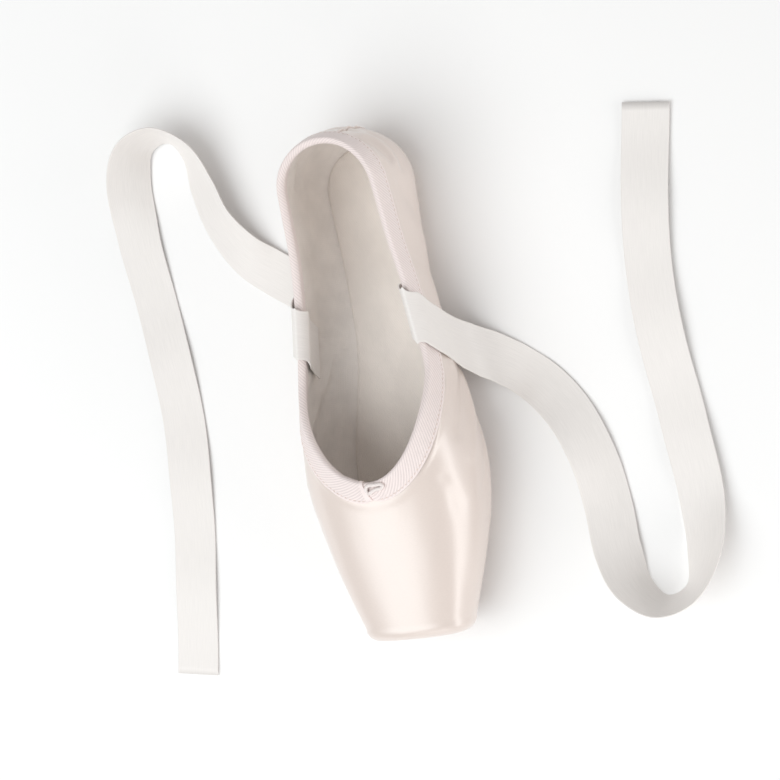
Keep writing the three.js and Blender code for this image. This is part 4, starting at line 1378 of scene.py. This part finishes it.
SOCK_EXTRA, SOCK_RINGS, SOCK_EDGE = 1.0, 18, ((0, 0.0), (0, 0.9), (0.25, 1.3), (0.8, 1.5))
SOCK_COUNTS = (30, 110, 34)
SOCK_NARROWER, SOCK_NARROW_FROM, SOCK_NARROW_END = 0.09, 190, 215


class POINTE_OT_insole(bpy.types.Operator):
    """Lay the cotton sock in the shoe"""

    bl_idname = "pointe.insole"
    bl_label = "Sock"

    def execute(self, context):
        plan, inward = sole_outline(SOCK_EXTRA, INSOLE_TIP_ROUND, INSOLE_TIP, SOCK_COUNTS)
        narrow = smooth(plan[:, 0], SOCK_NARROW_FROM, SOCK_NARROW_END)
        plan[:, 1] *= 1 - SOCK_NARROWER * narrow
        rings = [(plan + inward * offset, rise) for offset, rise in SOCK_EDGE]
        inner = rings[-1][0]
        for share in np.linspace(0, 1, SOCK_RINGS)[1:]:
            rings.append((inner * (1, 1 - share), INSOLE_THICK))
        columns = []
        for place, rise in rings:
            along, y = half_plan(place)
            seat = sole_lift(along) + SOLE_THICK + 2 * GAP + wall_at(along)
            columns.append(np.stack([along - LENGTH / 2, y, seat + rise], -1))
        shape = Shape()
        shape.grid(np.stack(columns, 1), mirror=True)
        shape.wall(columns[0], columns[0] * (1, 0, 1), mirror=True)
        belongs(shape.build("sock_cloth", finish_of(SOCK)), "sock", "insole")
        return {"FINISHED"}


# Stitches: rows of the side seam, and how long each stitch is in its pitch or in millimetres
SEAM_ROWS, SEAM_STITCH, SEAM_PROUD, SEAM_STITCH_STEPS = (-1.5, -4.5), 0.72, 0.08, 60
TAPE_STITCH, TAPE_THINNER, TAPE_STITCH_CLEAR, TAPE_STITCH_PROUD = 0.6, 0.85, 3.0, 0.06
TACK_HEIGHT, TACK_PITCH, TACK_STITCH, TACK_PROUD, TACK_STEPS = 15.5, 2.6, 1.8, 0.05, 40
TOE_PITCH, TOE_STITCH, TOE_PROUD, TOE_STITCH_STEPS = 2.4, 1.7, 0.06, 50
TOE_STITCH_END, TOE_STITCH_ASIDE = 2.6, 0.09


def on_satin(around, quarter, side, proud):
    """Points a little proud of the creased satin on one side."""
    points = form(around, quarter)
    height = relief(points, around, side) + proud
    return (points + form_normal(around, quarter) * height[..., None]) * (1, side, 1)


class POINTE_OT_stitching(bpy.types.Operator):
    """Sew the side seams, the tape, the heel strip and the seams under the toe"""

    bl_idname = "pointe.stitching"
    bl_label = "Stitching"

    def execute(self, context):
        sizes = context.scene.pointe_sizes
        thread, sides = sizes.thread, (LEFT, RIGHT)
        around, quarter, _ = side_line(SIDE_SEAM, SEAM_STITCH_STEPS)
        rows = [
            on_satin(around + shift, quarter, side, SEAM_PROUD) for shift in SEAM_ROWS for side in sides
        ]
        pitch = sizes.seam_pitch
        sew("side_seam_stitches", "satin", THREAD, rows, pitch, pitch * SEAM_STITCH, thread)
        rows, pitch = [self.tape_row(side) for side in sides], sizes.tape_pitch
        # The tape's thread is darker than the rest: painted shade of its needle holes on top of the
        # thread's colour.
        sew(
            "tape_stitches", "binding_tape", TAPE_THREAD_AND_HOLE_SHADE, rows, pitch, pitch * TAPE_STITCH,
            thread * TAPE_THINNER,
        )
        quarter = on_side(-HEEL_ARC + 1, TACK_HEIGHT)
        share = np.linspace(-1, 1, TACK_STEPS)
        tack = form(strip_place(quarter, np.abs(share)), quarter, -STRIP_THICK - TACK_PROUD)
        tack[:, 1] *= np.sign(share)
        sew(
            "heel_tack_stitches", "satin", THREAD, [tack], TACK_PITCH * MM, TACK_STITCH * MM, thread
        )
        around, quarter = toe_seam(np.linspace(0, TOE_STITCH_END, TOE_STITCH_STEPS))
        rows = [on_satin(around, quarter - TOE_STITCH_ASIDE, side, TOE_PROUD) for side in sides]
        sew("toe_seam_stitches", "satin", THREAD, rows, TOE_PITCH * MM, TOE_STITCH * MM, thread)
        return {"FINISHED"}

    def tape_row(self, side):
        """Line of the stitches along the tape on one side, over the lapped end on the right."""
        profile, _ = tape_profile(WALL)
        row = min(profile, key=lambda place: abs(place[0] - TAPE_OUTSIDE + TAPE_STITCH_IN))
        front = COLLAR[4][-1] - COLLAR[4]
        rise = TAPE_STITCH_PROUD + (lap_rise(-front) if side == RIGHT else 0)
        line = tape_line(side * front, COLLAR, row, rise) * (1, side, 1)
        return line[front > TAPE_STITCH_CLEAR]


# Camera: the photograph's angle to the shoe, rolled so that the toe leans to the right
CAMERA_LEAN, CAMERA_TO_HEEL, CAMERA_ROLL = 23, 1, 9
CAMERA_LENS, CAMERA_SENSOR, CAMERA_DISTANCE = 100, 36, 1.0
CAMERA_AIM = (4, 2, 22)
# Lights: place, size and power, and how warm each is
LIGHTS = (
    ("overhead", (0.35, -0.53, 1.3), (1.5, 1.5), 15.5, (0.955, 0.99, 1.0)),
    ("side_strip", (0.4, 1.3, 0.3), (1.6, 0.44), 6.6, (1.0, 0.995, 0.985)),
    ("toe_fill", (1.5, 0.1, 0.55), (1.2, 0.8), 2.6, (1.0, 0.99, 0.985)),
)
WORLD_LIGHT, WORLD_TINT = 0.46, (1, 0.995, 0.99, 1)
FLOOR_HALF, FLOOR_DROP = 3.0, 0.00015


class POINTE_OT_stage(bpy.types.Operator):
    """Set the camera, the pale floor and the soft lights"""

    bl_idname = "pointe.stage"
    bl_label = "Stage"

    def execute(self, context):
        scene = context.scene
        lean, nod, roll = (math.radians(v) for v in (CAMERA_LEAN, CAMERA_TO_HEEL, CAMERA_ROLL))
        back = Vector((-math.sin(nod), math.sin(lean), math.cos(lean))).normalized()
        level = Vector((-1, 0, 0))
        level = (level - back * level.dot(back)).normalized()
        aside = level.cross(back)
        up = math.cos(roll) * level + math.sin(roll) * aside
        right = math.cos(roll) * aside - math.sin(roll) * level
        data = bpy.data.cameras.new("camera")
        data.lens, data.sensor_width = CAMERA_LENS, CAMERA_SENSOR
        camera = link(bpy.data.objects.new("camera", data))
        place = Matrix.Translation(Vector(CAMERA_AIM) * MM + back * CAMERA_DISTANCE)
        camera.matrix_world = place @ Matrix((right, up, back)).transposed().to_4x4()
        scene.camera = camera
        signs = (-1, -1), (1, -1), (1, 1), (-1, 1)
        mesh = bpy.data.meshes.new("floor")
        mesh.from_pydata(
            [(x * FLOOR_HALF, y * FLOOR_HALF, -FLOOR_DROP) for x, y in signs], [], [(0, 1, 2, 3)]
        )
        mesh.materials.append(floor_finish(scene.pointe_colours.floor))
        link(bpy.data.objects.new("floor", mesh))
        for name, place, size, power, tint in LIGHTS:
            lamp = bpy.data.lights.new(name, "AREA")
            lamp.shape, lamp.size, lamp.size_y = "RECTANGLE", *size
            lamp.energy, lamp.color = power, tint
            light = link(bpy.data.objects.new(name, lamp))
            light.location = place
            light.rotation_euler = (-Vector(place)).to_track_quat("-Z", "Y").to_euler()
        world = bpy.data.worlds.new("studio")
        world.use_nodes = True
        sky = world.node_tree.nodes["Background"].inputs
        sky["Color"].default_value, sky["Strength"].default_value = WORLD_TINT, WORLD_LIGHT
        scene.world = world
        scene.view_settings.view_transform = "Standard"
        return {"FINISHED"}


PIECES = (
    POINTE_OT_stage, POINTE_OT_ribbons, POINTE_OT_drawstring, POINTE_OT_upper, POINTE_OT_heel_strip,
    POINTE_OT_outsole, POINTE_OT_insole, POINTE_OT_binding, POINTE_OT_stitching,
)


class POINTE_PT_panel(bpy.types.Panel):
    """Lists the shoe's pieces, sizes and colours"""

    bl_idname = "POINTE_PT_panel"
    bl_label = "Pointe shoe"
    bl_space_type = "VIEW_3D"
    bl_region_type = "UI"
    bl_category = "Pointe shoe"

    def draw(self, context):
        for group in (context.scene.pointe_sizes, context.scene.pointe_colours):
            for key in group.bl_rna.properties.keys():
                if key not in ("rna_type", "name"):
                    self.layout.prop(group, key)
        for piece in PIECES:
            self.layout.operator(piece.bl_idname)


CLASSES = (PointeColours, PointeSizes, *PIECES, POINTE_PT_panel)


def register():
    for made in CLASSES:
        bpy.utils.register_class(made)
    bpy.types.Scene.pointe_colours = bpy.props.PointerProperty(type=PointeColours)
    bpy.types.Scene.pointe_sizes = bpy.props.PointerProperty(type=PointeSizes)


def unregister():
    del bpy.types.Scene.pointe_sizes
    del bpy.types.Scene.pointe_colours
    for made in reversed(CLASSES):
        bpy.utils.unregister_class(made)


def main():
    register()
    for piece in PIECES:
        group, name = piece.bl_idname.split(".")
        getattr(getattr(bpy.ops, group), name)()


if __name__ == "__main__":
    main()
